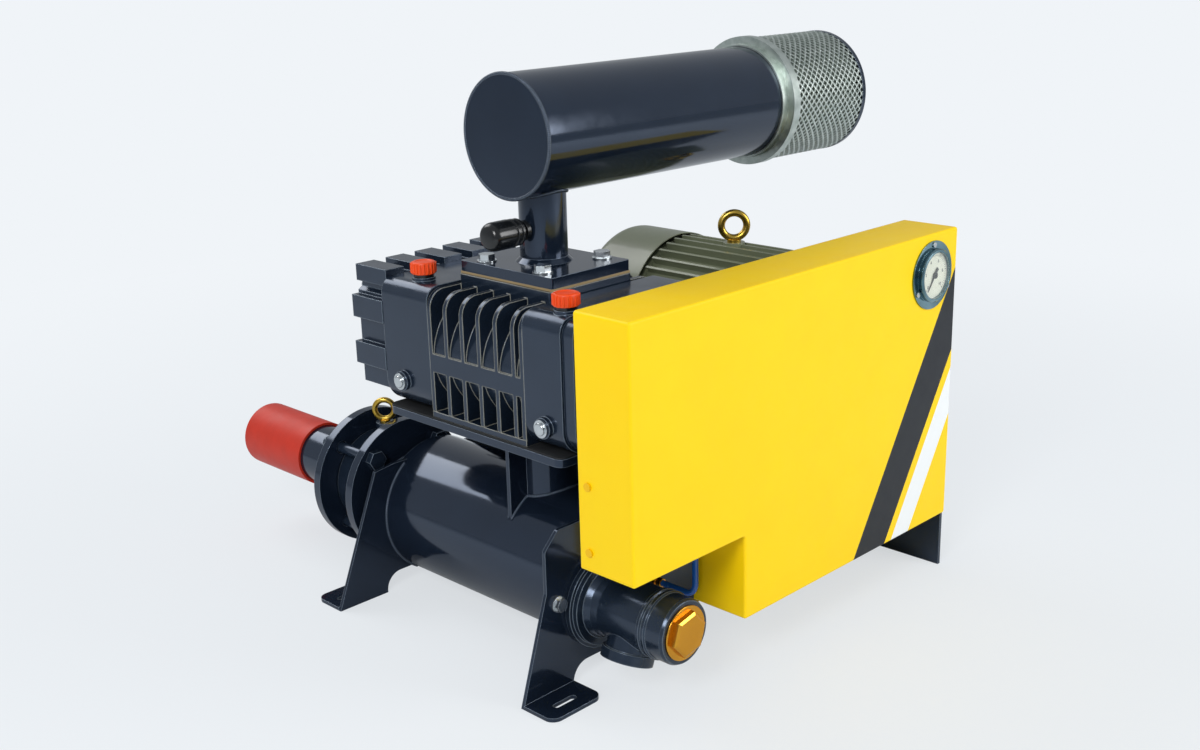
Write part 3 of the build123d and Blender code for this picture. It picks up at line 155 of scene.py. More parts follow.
def ranged(
    tree: Tree, value: Socket, start: float, end: float, low: float, high: float, **settings: object
) -> Socket:
    """Value carried from the range start..end to the range low..high."""
    inputs = {"Value": value, "From Min": start, "From Max": end, "To Min": low, "To Max": high}
    return add_node(tree, "ShaderNodeMapRange", inputs, **settings).outputs["Result"]


def bump(tree: Tree, height: Socket, strength: float, depth_mm: float, normal: Socket) -> Socket:
    """Normal with a height laid over it."""
    inputs = {"Height": height, "Strength": strength, "Distance": mm(depth_mm), "Normal": normal}
    return add_node(tree, "ShaderNodeBump", inputs).outputs["Normal"]


def blank(name: str) -> tuple[bpy.types.Material, Tree]:
    """New material and its empty tree."""
    material = bpy.data.materials.new(name)
    material.use_nodes = True
    material.node_tree.nodes.clear()
    return material, material.node_tree


@dataclass(frozen=True)
class Finish:
    """Surface of one real material. Sizes are in millimetres."""

    name: str
    colour: str
    second: str
    roughness: float
    metallic: float = 0.0
    coat: float = 0.0
    coat_roughness: float = 0.04
    grain_mm: float = 1.0
    depth_mm: float = 0.01
    blotch_mm: float = 60.0
    clouding: float = 0.35
    smudge_mm: float = 28.0
    edge_mm: float = 0.8
    # Lighter edge colour and its share: partly real wear, partly a painted highlight along rounded edges
    edge_sheen_and_wear: str = ""
    edge_sheen_and_wear_share: float = 0.0
    roughness_spread: float = 0.08
    specular: float = 0.5
    reflection: str = "#ffffff"

    def build(self) -> bpy.types.Material:
        """Makes the node material of this finish."""
        material, tree = blank(self.name)
        where = add_node(tree, "ShaderNodeTexCoord").outputs["Object"]
        rounded = add_node(tree, "ShaderNodeBevel", {"Radius": mm(self.edge_mm)}, samples=6).outputs["Normal"]
        inputs = {
            "Base Color": self.colours(tree, where, rounded),
            "Roughness": self.shine(tree, where),
            "Normal": self.relief(tree, where, rounded),
            "Metallic": self.metallic,
            "Coat Weight": self.coat,
            "Coat Roughness": self.coat_roughness,
            "Specular IOR Level": self.specular,
            "Specular Tint": linear(self.reflection),
        }
        shader = add_node(tree, "ShaderNodeBsdfPrincipled", inputs).outputs["BSDF"]
        add_node(tree, "ShaderNodeOutputMaterial", {"Surface": shader})
        material.diffuse_color = linear(self.colour)
        return material

    def colours(self, tree: Tree, where: Socket, rounded: Socket) -> Socket:
        """Base colour with soft unevenness and lighter edges, partly wear and partly a painted highlight on
        the rounded edges.
        """
        blotch = ranged(tree, noise(tree, where, self.blotch_mm, 4.0), 0.35, 0.7, 0.0, self.clouding)
        base = mixed(tree, blotch, linear(self.colour), linear(self.second))
        if not self.edge_sheen_and_wear_share:
            return base
        flat = add_node(tree, "ShaderNodeNewGeometry").outputs["Normal"]
        facing = add_node(tree, "ShaderNodeVectorMath", {0: rounded, 1: flat}, operation="DOT_PRODUCT")
        # Lighter edges where the bevelled normal turns from the flat one: partly wear, partly a painted edge
        # highlight
        edge = ranged(tree, facing.outputs["Value"], 0.995, 0.86, 0.0, self.edge_sheen_and_wear_share)
        return mixed(tree, edge, base, linear(self.edge_sheen_and_wear))

    def shine(self, tree: Tree, where: Socket) -> Socket:
        """Roughness with smudges a few centimetres across."""
        smoothest = max(0.02, self.roughness - self.roughness_spread / 2)
        smudge = noise(tree, where, self.smudge_mm, 5.0, 0.6)
        return ranged(tree, smudge, 0.3, 0.75, smoothest, self.roughness + self.roughness_spread)

    def relief(self, tree: Tree, where: Socket, rounded: Socket) -> Socket:
        """Surface grain over softened edges."""
        return bump(tree, noise(tree, where, self.grain_mm, 2.0), 1.0, self.depth_mm, rounded)


@dataclass(frozen=True)
class TurnedFinish(Finish):
    """Metal from a lathe: fine rings round an axis that runs along Y."""

    ring_mm: float = 0.8
    centre_x: float = 0.0
    centre_z: float = 0.0

    def relief(self, tree: Tree, where: Socket, rounded: Socket) -> Socket:
        """Turning rings on the face, over softened edges."""
        shift = {"Vector": where, "Location": (-self.centre_x, 0.0, -self.centre_z)}
        centred = add_node(tree, "ShaderNodeMapping", shift).outputs["Vector"]
        rings = add_node(
            tree,
            "ShaderNodeTexWave",
            {"Vector": centred, "Scale": 1000 / self.ring_mm / 20, "Distortion": 0.3},
            wave_type="RINGS",
            rings_direction="Y",
        ).outputs["Fac"]
        return bump(tree, rings, 0.5, self.depth_mm, rounded)


@dataclass(frozen=True)
class BandedFinish(Finish):
    """Powder coat with a painted dark and a painted pale reflection band, slanted, on the guard's broad face.
    """

    face_y: float = -289.0
    lean: float = 0.62
    first_reflection_band: float = 35.0
    # Painted reflections on the broad face: a dark band and a pale band, as start, width and colour
    painted_reflection_bands: tuple[tuple[float, float, str], ...] = ((0.0, 72.0, "#23262b"), (88.0, 42.0, "#eef1f2"))

    def colours(self, tree: Tree, where: Socket, rounded: Socket) -> Socket:
        """Yellow with a painted dark and a painted pale reflection band that lean to the right."""
        colour = Finish.colours(self, tree, where, rounded)
        apart = add_node(tree, "ShaderNodeSeparateXYZ", {0: where}).outputs
        leaning = calc(tree, "MULTIPLY_ADD", apart["Z"], -self.lean, apart["X"])
        front = calc(tree, "LESS_THAN", apart["Y"], INLET_Y + mm(self.face_y))
        # Each band is a painted reflection laid over the yellow on the broad face
        for start, width, paint in self.painted_reflection_bands:
            low = calc(tree, "GREATER_THAN", leaning, mm(self.first_reflection_band + start))
            high = calc(tree, "LESS_THAN", leaning, mm(self.first_reflection_band + start + width))
            mask = calc(tree, "MULTIPLY", calc(tree, "MULTIPLY", low, high), front)
            colour = mixed(tree, mask, colour, linear(paint))
        return colour


@dataclass(frozen=True)
class GlassFinish:
    """Clear pane with a faint tint and a glint where it turns away."""

    name: str
    tint: str
    roughness: float = 0.02
    glint: float = 0.35

    def build(self) -> bpy.types.Material:
        """Makes the glass material."""
        material, tree = blank(self.name)
        clear = made(tree, "ShaderNodeBsdfTransparent", {"Color": linear(self.tint)})
        gloss = made(tree, "ShaderNodeBsdfGlossy", {"Roughness": self.roughness})
        facing = add_node(tree, "ShaderNodeLayerWeight", {"Blend": 0.3}).outputs["Facing"]
        share = calc(tree, "MULTIPLY", facing, self.glint)
        pane = made(tree, "ShaderNodeMixShader", {0: share, 1: clear, 2: gloss})
        add_node(tree, "ShaderNodeOutputMaterial", {"Surface": pane})
        material.diffuse_color = linear(self.tint)
        return material


# Enamel on a casting: its grain shows through the film, and its paler edges are partly thin film, partly a
# painted edge highlight
ENAMELLED_CASTING = {
    "grain_mm": 2.4, "depth_mm": 0.06, "blotch_mm": 35, "edge_sheen_and_wear_share": 0.7, "specular": 0.8,
    "reflection": "#c2d4f2",
}


class Surface(Enum):
    """The finishes of the package."""

    # Sprayed enamel on steel tube and plate: near-black blue, deep gloss, faint orange peel, pale edges that
    # are partly thin paint, partly a painted edge highlight
    BLACK_ENAMEL = Finish(
        "black_enamel_on_steel", "#131b27", "#1a2433", 0.1, grain_mm=5.0, depth_mm=0.012, edge_mm=1.2,
        edge_sheen_and_wear="#8894a0", edge_sheen_and_wear_share=0.7, roughness_spread=0.05, specular=0.85, reflection="#c2d4f2",
    )
    # Enamel over sand-cast iron: the same black, broken by the casting's grain and soft corners
    CAST_ENAMEL = Finish(
        "black_enamel_on_sand_casting", "#17202c", "#202b39", 0.19, edge_mm=2.0, edge_sheen_and_wear="#7f8b95",
        **ENAMELLED_CASTING,
    )
    # Enamel on the cooling fins, pale beige along their crests: partly rubbed through to bare iron, partly a
    # painted highlight
    FIN_ENAMEL = Finish(
        "black_enamel_on_cooling_fins", "#161f2b", "#1f2a38", 0.19, edge_mm=2.2, edge_sheen_and_wear="#b9b6a4",
        **ENAMELLED_CASTING,
    )
    # Milled and bored iron: dull grey shine
    MACHINED_IRON = Finish("machined_cast_iron", "#7d7f80", "#5f6162", 0.36, metallic=1.0, grain_mm=0.8)
    # Phosphate-dipped iron: charcoal with a soft sheen
    PHOSPHATED_IRON = Finish("phosphated_pulley_iron", "#3a3c3e", "#2a2c2d", 0.5, metallic=0.8, grain_mm=0.9)
    # Ground shaft steel: clean bright reflections
    STEEL = Finish("ground_steel", "#a9acae", "#8f9294", 0.25, metallic=1.0, grain_mm=0.6)
    # Bright zinc plate on hex bolts: pale, slightly blue, with a soft bloom
    BRIGHT_ZINC = Finish(
        "bright_zinc_plated_steel", "#ccd1d4", "#9ea6aa", 0.22, metallic=1.0, grain_mm=1.2, blotch_mm=9,
        edge_mm=0.5,
    )
    # Yellow passivated zinc on drop-forged eyes: dull gold with green drifts
    YELLOW_ZINC = Finish(
        "yellow_passivated_zinc", "#c9a544", "#8d8248", 0.3, metallic=1.0, grain_mm=1.4, blotch_mm=7,
        clouding=0.6, edge_mm=0.5,
    )
    # Galvanised strip: silvery with soft green-grey clouds
    GALVANISED = Finish(
        "galvanised_steel_sheet", "#c6cec9", "#94a19a", 0.38, metallic=1.0, grain_mm=1.5, blotch_mm=11,
        clouding=0.6, edge_mm=0.4,
    )
    # Resin-treated paper in tight folds: dark and quite matt
    FILTER_PAPER = Finish("pleated_filter_paper", "#9aa69d", "#78847b", 0.9, grain_mm=0.7, depth_mm=0.04)
    # Air-dried motor enamel: olive grey, satin, lighter on its casting edges: partly thin enamel, partly a
    # painted edge highlight
    MOTOR_ENAMEL = Finish(
        "grey_green_motor_enamel", "#747a62", "#676d56", 0.34, coat=0.2, grain_mm=2.5, depth_mm=0.03,
        edge_mm=1.2, edge_sheen_and_wear="#a3a78e", edge_sheen_and_wear_share=0.4,
    )
    # Powder coat on folded sheet: strong warm yellow, fine orange peel, soft sheen, a painted dark and a
    # painted pale reflection band, and lighter edges that are a painted highlight
    GUARD_YELLOW = BandedFinish(
        "yellow_powder_coat", "#ffd600", "#ffca00", 0.42, grain_mm=2.2, depth_mm=0.012, edge_mm=1.2,
        edge_sheen_and_wear="#ffe64a", edge_sheen_and_wear_share=0.4, clouding=0.25, specular=0.25,
    )
    # Powder coat over the guard's side screws: the guard's yellow, a little deeper on their small heads
    PAINTED_SCREW = Finish(
        "yellow_painted_screw", "#f2bd00", "#e0a800", 0.4, grain_mm=1.5, edge_mm=0.4, specular=0.3,
    )
    # Lathe-turned brass: warm gold with fine rings
    TURNED_BRASS = TurnedFinish(
        "turned_brass", "#dca03a", "#bd8122", 0.2, metallic=1.0, depth_mm=0.02, edge_mm=0.8,
        centre_x=TUBE_X + mm(RELIEF_X), centre_z=mm(RELIEF_Z),
    )
    # Pressed fibre under the inlet plate: dry tan edge
    FIBRE_GASKET = Finish("fibre_gasket", "#a08a63", "#7d6b4c", 0.85, grain_mm=0.9, depth_mm=0.05)
    # Graphite sheet under the blower and between the flanges: dark and dull
    GRAPHITE_GASKET = Finish("graphite_gasket", "#1b1d1f", "#141617", 0.7, grain_mm=0.9, depth_mm=0.04)
    # Fabric-wrapped belt rubber: soft black
    BELT_RUBBER = Finish("wrapped_belt_rubber", "#1d1d1e", "#131314", 0.7, grain_mm=0.8)
    # Silicone over woven fabric: satin red with the weave just telegraphing through
    RED_SILICONE = Finish(
        "fabric_reinforced_silicone", "#c8301a", "#a82614", 0.46, grain_mm=1.8, depth_mm=0.09,
        blotch_mm=25, specular=0.35,
    )
    # Nitrile rubber of the shaft seal: matt black
    BLACK_RUBBER = Finish("lip_seal_rubber", "#191919", "#101010", 0.6)
    # Glass-filled moulding of the oil caps: bright orange, with a painted highlight lightening its corners
    ORANGE_MOULDING = Finish(
        "orange_moulded_polyamide", "#f04a0a", "#de3d06", 0.36, edge_mm=0.9, edge_sheen_and_wear="#ff8a50",
        edge_sheen_and_wear_share=0.4, specular=0.4,
    )
    # Glossy black moulding of the indicator, collars and fan, with grey edges that are partly scuffs, partly
    # a painted edge highlight
    BLACK_MOULDING = Finish(
        "black_moulded_polyamide", "#101214", "#181b1d", 0.22, grain_mm=0.9, edge_mm=0.7,
        edge_sheen_and_wear="#50565a", edge_sheen_and_wear_share=0.5,
    )
    # Polished stainless: mirror rings; its teal colour and its light and dark teal clouds are a painted
    # reflection of the room
    GAUGE_STAINLESS = TurnedFinish(
        "polished_stainless", "#7f9ca5", "#2c5562", 0.12, metallic=1.0, depth_mm=0.008, edge_mm=0.6,
        blotch_mm=45, clouding=0.9, centre_x=TUBE_X + mm(GAUGE_X), centre_z=mm(GAUGE_Z),
    )
    # Enamelled dial plate: warm cream, no shine
    DIAL_ENAMEL = Finish(
        "cream_dial_enamel", "#f6f1e2", "#efe8d4", 0.5, clouding=0.2, edge_mm=0.2, specular=0.2,
    )
    # Screen-printed strokes and the lacquered pointer: plain black
    DIAL_BLACK = Finish("black_dial_print", "#101010", "#181818", 0.5, edge_mm=0.1)
    # Extruded air tube: clean blue with a long highlight
    BLUE_TUBE = Finish(
        "blue_extruded_polyurethane", "#1f63c8", "#1a55ad", 0.22, coat=0.3, grain_mm=3.0, edge_mm=0.3,
    )
    # Pane over the dial: unseen from the front, a soft glint near its rim
    CLEAR_GLASS = GlassFinish("clear_gauge_glass", "#fbfdfc")

    def material(self) -> bpy.types.Material:
        """The material of this finish, made once."""
        found = bpy.data.materials.get(self.value.name)
        return found or self.value.build()


def paint(mesh: bpy.types.Mesh, *surfaces: Surface) -> None:
    """Gives a mesh these finishes in place of any others."""
    mesh.materials.clear()
    for surface in surfaces:
        mesh.materials.append(surface.material())


def dress(nodes: Iterable[str], surface: Surface) -> None:
    """Gives carried-over CAD nodes a finish.

    Args:
        nodes: names of CAD nodes.
        surface: the finish they get.
    """
    for name in nodes:
        paint(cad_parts[name].data, surface)
        log.info("%s finished in %s", name, surface.value.name)


def dress_split(name: str, axis: int, limit: float, low: Surface, high: Surface) -> None:
    """Gives the two groups of parts in one CAD node a finish each.

    Args:
        name: the CAD node.
        axis: 0, 1 or 2 for the direction that tells the groups apart.
        limit: place between the groups, in metres.
        low: finish of the faces below the limit.
        high: finish of the faces above it.
    """
    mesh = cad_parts[name].data
    paint(mesh, low, high)
    for face in mesh.polygons:
        face.material_index = int(face.center[axis] > limit)
    log.info("%s finished in %s and %s", name, low.value.name, high.value.name)


def place(
    obj: Piece, surface: Surface, replaced: Sequence[str] = (), body: str = PACKAGE
) -> None:
    """Gives a finished piece its finish and body, and hides the CAD nodes it stands for.

    Args:
        obj: the piece, with its place in its mesh.
        surface: its finish.
        replaced: CAD nodes that it stands for.
        body: CAD body that it rides on.
    """
    paint(obj.data, surface)
    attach(obj, body)
    for node in replaced:
        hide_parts(node)
    log.info("%s: %d faces", obj.name, len(obj.data.polygons))


def linked(name: str, data: bpy.types.ID) -> Piece:
    """New object of the scene with the given data."""
    obj = bpy.data.objects.new(name, data)
    bpy.context.scene.collection.objects.link(obj)
    return obj


def evaluated(obj: Piece) -> bpy.types.Mesh:
    """Plain mesh of an object with its modifiers run."""
    return bpy.data.meshes.new_from_object(obj.evaluated_get(bpy.context.evaluated_depsgraph_get()))


def smoothed(obj: Piece) -> Piece:
    """The object with smooth shading up to the sharp angle."""
    obj.data.shade_smooth()
    obj.data.set_sharp_from_angle(angle=math.radians(SHARP_ANGLE))
    return obj


def from_bmesh(name: str, mesh: bmesh.types.BMesh, smooth: bool = True) -> Piece:
    """Turns a bmesh into an object with outward faces.

    Args:
        name: the new object's name.
        mesh: geometry in the row frame. It is freed.
        smooth: whether gentle edges shade smoothly.

    Returns:
        The linked object.
    """
    bmesh.ops.remove_doubles(mesh, verts=mesh.verts, dist=1e-6)
    bmesh.ops.recalc_face_normals(mesh, faces=mesh.faces)
    data = bpy.data.meshes.new(name)
    mesh.to_mesh(data)
    mesh.free()
    obj = linked(name, data)
    return smoothed(obj) if smooth else obj


def bridge(mesh: bmesh.types.BMesh, rings: Sequence[Sequence[bmesh.types.BMVert]]) -> None:
    """Joins each closed ring of vertices to the next one by faces."""
    for low, high in zip(rings, rings[1:]):
        for i in range(len(low)):
            j = (i + 1) % len(low)
            mesh.faces.new((low[i], low[j], high[j], high[i]))


def turned(name: str, outline: Sequence[tuple[float, float]], base: Matrix, steps: int = 72) -> Piece:
    """Solid of revolution from an outline that starts and ends on the axis.

    Args:
        name: the new object's name.
        outline: radius and height pairs in millimetres.
        base: matrix that takes local Z to the axis.
        steps: facets round the axis.

    Returns:
        The linked object.
    """
    mesh = bmesh.new()
    rings = []
    for radius, height in outline:
        spots = [Vector((x, y, mm(height))) for x, y in circle(mm(radius), steps)]
        rings.append([mesh.verts.new(base @ spot) for spot in spots])
    bridge(mesh, rings)
    bmesh.ops.remove_doubles(mesh, verts=mesh.verts, dist=1e-7)
    bmesh.ops.dissolve_degenerate(mesh, dist=1e-7, edges=mesh.edges)
    return from_bmesh(name, mesh)


def new_tree(name: str, values: Values) -> tuple[Tree, dict[str, Socket]]:
    """Starts a Geometry Nodes tree with named inputs.

    Args:
        name: the tree's name.
        values: input name to its value, whole for a count.

    Returns:
        The tree, and its input sockets by name. "Geometry" is among them.
    """
    tree = bpy.data.node_groups.new(name, "GeometryNodeTree")
    tree.interface.new_socket("Geometry", in_out="INPUT", socket_type="NodeSocketGeometry")
    for key, value in values.items():
        kind = "NodeSocketInt" if isinstance(value, int) else "NodeSocketFloat"
        tree.interface.new_socket(key, in_out="INPUT", socket_type=kind).default_value = value
    tree.interface.new_socket("Geometry", in_out="OUTPUT", socket_type="NodeSocketGeometry")
    entry = add_node(tree, "NodeGroupInput")
    return tree, {socket.name: socket for socket in entry.outputs if socket.name}


def points(tree: Tree, count: Socket) -> tuple[Socket, Socket]:
    """A number of points, and the index of each."""
    spots = made(tree, "GeometryNodePoints", {"Count": count})
    return spots, made(tree, "GeometryNodeInputIndex")


def spread(tree: Tree, spots: Socket, piece: Socket, **more: object) -> Socket:
    """Instances of a piece on points.

    Args:
        tree: the geometry tree.
        spots: points that get an instance each.
        piece: geometry of one instance.
        more: Rotation and Scale, where they are needed.
    """
    inputs = {"Points": spots, "Instance": piece, **more}
    return made(tree, "GeometryNodeInstanceOnPoints", inputs)


def shifted(tree: Tree, geometry: Socket, spot: Vector, turn: Sequence[float] = (0.0, 0.0, 0.0)) -> Socket:
    """Geometry turned about the origin and then moved to a spot."""
    inputs = {"Geometry": geometry, "Translation": spot, "Rotation": turn}
    return made(tree, "GeometryNodeTransform", inputs)


def helix(tree: Tree, ins: dict[str, Socket], steps: int, reverse: bool = False) -> Socket:
    """Screw line from the inputs Radius, Length and Turns, with a number of steps to each turn."""
    line = {"Resolution": steps, "Rotations": ins["Turns"], "Height": ins["Length"], "Reverse": reverse}
    ends = {"Start Radius": ins["Radius"], "End Radius": ins["Radius"]}
    return made(tree, "GeometryNodeCurveSpiral", {**line, **ends})


def end_tree(tree: Tree, geometry: Socket, surface: Surface) -> None:
    """Ends a tree in Realize Instances and Set Material.

    Args:
        tree: the tree to end.
        geometry: its last geometry.
        surface: finish of the result.
    """
    real = made(tree, "GeometryNodeRealizeInstances", {"Geometry": geometry})
    painted = {"Geometry": real, "Material": surface.material()}
    done = made(tree, "GeometryNodeSetMaterial", painted)
    add_node(tree, "NodeGroupOutput", {"Geometry": done})


def from_tree(
    name: str, tree: Tree, values: Values, base: bpy.types.Mesh | None = None
) -> Piece:
    """Runs a Geometry Nodes tree once and keeps its mesh.

    Args:
        name: the new object's name.
        tree: geometry tree with named inputs.
        values: input name to value.
        base: mesh that the tree works on, if it needs one.

    Returns:
        A plain mesh object in the row frame.
    """
    source = linked(name + "_source", base or bpy.data.meshes.new(name + "_base"))
    modifier = source.modifiers.new("build", "NODES")
    modifier.node_group = tree
    for item in tree.interface.items_tree:
        if item.item_type == "SOCKET" and item.in_out == "INPUT" and item.name in values:
            modifier[item.identifier] = values[item.name]
    data = evaluated(source)
    source.modifiers.clear()
    bpy.data.objects.remove(source)
    data.name = name
    return smoothed(linked(name, data))


@dataclass
class FilterCanister:
    """Zinc mesh canister round the pleated element. Sizes in millimetres."""

    radius: float = 86.6
    start: float = 408.5
    end: float = 568.6
    strands: int = 48
    turns: float = 0.28
    strand_width: float = 2.5
    strand_flatness: float = 0.38
    strand_steps: int = 110
    mesh_inset: float = 1.0
    mesh_short: float = 6.0
    knot_radius: float = 1.9
    pleats: int = 96
    pleat_outer: float = 83.4
    pleat_inner: float = 74.0

    def lattice(self) -> Piece:
        """Crossed helical strands that make the diamond openings."""
        values = {
            "Radius": mm(self.radius - self.mesh_inset),
            "Length": mm(self.end - self.start - self.mesh_short),
            "Turns": self.turns,
            "Strands": self.strands,
            "Strand Width": mm(self.strand_width),
        }
        tree, ins = new_tree("diamond_mesh", values)
        thickness = calc(tree, "MULTIPLY", ins["Strand Width"], self.strand_flatness)
        section = {"Width": thickness, "Height": ins["Strand Width"]}
        profile = made(tree, "GeometryNodeCurvePrimitiveQuadrilateral", section)
        layers = []
        for reverse in (False, True):
            line = {"Curve": helix(tree, ins, self.strand_steps, reverse)}
            level = made(tree, "GeometryNodeSetCurveNormal", line, mode="Z_UP")
            ribbon = {"Curve": level, "Profile Curve": profile}
            strand = made(tree, "GeometryNodeCurveToMesh", ribbon)
            spots, index = points(tree, ins["Strands"])
            share = calc(tree, "DIVIDE", index, ins["Strands"])
            turn = vector(tree, Z=calc(tree, "MULTIPLY", share, 2 * math.pi))
            layers.append(spread(tree, spots, strand, Rotation=turn))
        layers.append(self.knots(tree, ins))
        joined = tree.nodes.new("GeometryNodeJoinGeometry")
        for layer in layers:
            tree.links.new(layer, joined.inputs[0])
        axis_turn = (0.0, math.pi / 2, 0.0)
        upright = shifted(tree, joined.outputs[0], at(self.start, 0, SILENCER_Z), axis_turn)
        end_tree(tree, upright, Surface.GALVANISED)
        return from_tree("filter_lattice", tree, values)

    def knots(self, tree: Tree, ins: dict[str, Socket]) -> Socket:
        """Raised knot at each crossing of two strands of the lattice's tree."""
        gaps = 2 * self.turns * self.strands
        spots, index = points(tree, calc(tree, "MULTIPLY", ins["Strands"], int(gaps) + 1))
        share = calc(tree, "DIVIDE", index, ins["Strands"])
        row = calc(tree, "FLOOR", share)
        shift = calc(tree, "MULTIPLY", row, math.pi / self.strands)
        angle = calc(tree, "MULTIPLY_ADD", share, 2 * math.pi, shift)
        x = calc(tree, "MULTIPLY", calc(tree, "COSINE", angle), ins["Radius"])
        y = calc(tree, "MULTIPLY", calc(tree, "SINE", angle), ins["Radius"])
        z = calc(tree, "MULTIPLY", row, calc(tree, "DIVIDE", ins["Length"], gaps))
        there = {"Geometry": spots, "Position": vector(tree, X=x, Y=y, Z=z)}
        crossings = made(tree, "GeometryNodeSetPosition", there)
        ball = {"Radius": mm(self.knot_radius), "Subdivisions": 1}
        knot = made(tree, "GeometryNodeMeshIcoSphere", ball)
        return spread(tree, crossings, knot, Rotation=vector(tree, Z=angle), Scale=(0.5, 1.0, 1.2))

    def cap(self) -> Piece:
        """Pressed end cap with a rolled rim."""
        r = self.radius
        outline = [
            (0, 0), (r - 14, 0), (r - 10, -2.5), (r - 6, -2.5), (r - 3, 0), (r - 1, -0.6), (r, -2), (r, -9),
            (r - 1.2, -9), (r - 1.2, -4), (0, -4),
        ]
        return turned("filter_end_cap", outline, stand(at(self.end, 0, SILENCER_Z), 1, "Y"), 96)

    def element(self) -> Piece:
        """Pleated paper behind the mesh."""
        mesh = bmesh.new()
        rings = []
        for x in (self.start - 4, self.end - 5):
            ring = []
            for i in range(2 * self.pleats):
                radius = self.pleat_outer if i % 2 else self.pleat_inner
                turn = math.pi * i / self.pleats
                spot = at(x, radius * math.cos(turn), SILENCER_Z + radius * math.sin(turn))
                ring.append(mesh.verts.new(spot))
            rings.append(ring)
        bridge(mesh, rings)
        mesh.faces.new(rings[0])
        mesh.faces.new(rings[1])
        return from_bmesh("pleated_element", mesh, smooth=False)

    def build(self) -> None:
        """Builds and dresses the canister."""
        place(self.lattice(), Surface.GALVANISED, ["filter_mesh"])
        place(self.cap(), Surface.BLACK_ENAMEL)
        place(self.element(), Surface.FILTER_PAPER, ["filter_element"])
        dress(["filter_collar"], Surface.GALVANISED)


@dataclass
class WeldSeams:
    """Ripple welds along the joints of tube and plate. Sizes in millimetres."""

    bead: float = 2.6
    bead_shape: tuple[float, float, float] = (1.0, 1.0, 0.75)
    pitch: float = 2.4
    tube_z: float = 107.0
    tube_radius: float = 96.85
    riser_radius: float = 44.45
    riser_y: float = 4.0
    riser_top: float = 289.5
    gusset_end: float = 74.0
    gusset_half: float = 3.0
    tube_arcs: tuple[tuple[float, int, int], ...] = ((240.6, 128, 242), (246.4, 128, 242), (-136.2, 40, 250))
    silencer_radius: float = 75.6
    silencer_end: float = -54.6
    end_radius: float = 74.9
    neck_radius: float = 30.5
    discharge_x: float = -38.0
    discharge_z: float = 137.0
    discharge_radius: float = 45.0
    discharge_places: tuple[float, ...] = (250.6, 262.6, 353.2)

    def on_tube(self, x: float, y: float) -> Vector:
        """Point on the upper half of the base tube."""
        return at(x, y, self.tube_z + math.sqrt(self.tube_radius**2 - x * x))

    def seams(self) -> list[tuple[list[Vector], bool]]:
        """Routes of the welds, each with whether it closes."""
        riser = [(x, self.riser_y + y) for x, y in circle(self.riser_radius)]
        routes = [([self.on_tube(x, y) for x, y in riser], True)]
        routes.append(([at(x, y, self.riser_top) for x, y in riser], True))
        for side in (-1, 1):
            for face in (-self.gusset_half, self.gusset_half):
                run = self.gusset_end - self.riser_radius
                spots = [side * (self.riser_radius + run * i / 13) for i in range(14)]
                routes.append(([self.on_tube(x, self.riser_y + face) for x in spots], False))
        r = self.tube_radius
        for y, first, last in self.tube_arcs:
            arc = [math.radians(a) for a in range(first, last, 3)]
            routes.append(([at(r * math.cos(a), y, self.tube_z + r * math.sin(a)) for a in arc], False))
        end = [at(self.silencer_end, y, SILENCER_Z + z) for y, z in circle(self.end_radius)]
        routes.append((end, True))
        neck = []
        for x, y in circle(self.neck_radius):
            neck.append(at(x, y, SILENCER_Z - math.sqrt(self.silencer_radius**2 - y * y)))
        routes.append((neck, True))
        for y in self.discharge_places:
            ring = circle(self.discharge_radius)
            routes.append(([at(self.discharge_x + x, y, self.discharge_z + z) for x, z in ring], True))
        return routes

    def build(self) -> None:
        """Lays every seam as one piece on the package."""
        mesh = bmesh.new()
        for route, closed in self.seams():
            spots = [mesh.verts.new(p) for p in route]
            for a, b in zip(spots, spots[1:]):
                mesh.edges.new((a, b))
            if closed:
                mesh.edges.new((spots[-1], spots[0]))
        base = bpy.data.meshes.new("weld_routes")
        mesh.to_mesh(base)
        mesh.free()
        values = {"Bead": mm(self.bead), "Pitch": mm(self.pitch)}
        tree, ins = new_tree("weld_ripple", values)
        line = made(tree, "GeometryNodeMeshToCurve", {"Mesh": ins["Geometry"]})
        steps = {"Curve": line, "Length": ins["Pitch"]}
        spots = add_node(tree, "GeometryNodeCurveToPoints", steps, mode="LENGTH").outputs
        drop = made(tree, "GeometryNodeMeshIcoSphere", {"Radius": ins["Bead"], "Subdivisions": 2})
        beads = spread(tree, spots["Points"], drop, Rotation=spots["Rotation"], Scale=self.bead_shape)
        end_tree(tree, beads, Surface.BLACK_ENAMEL)
        seams = from_tree("weld_seams", tree, values, base)
        place(seams, Surface.BLACK_ENAMEL)


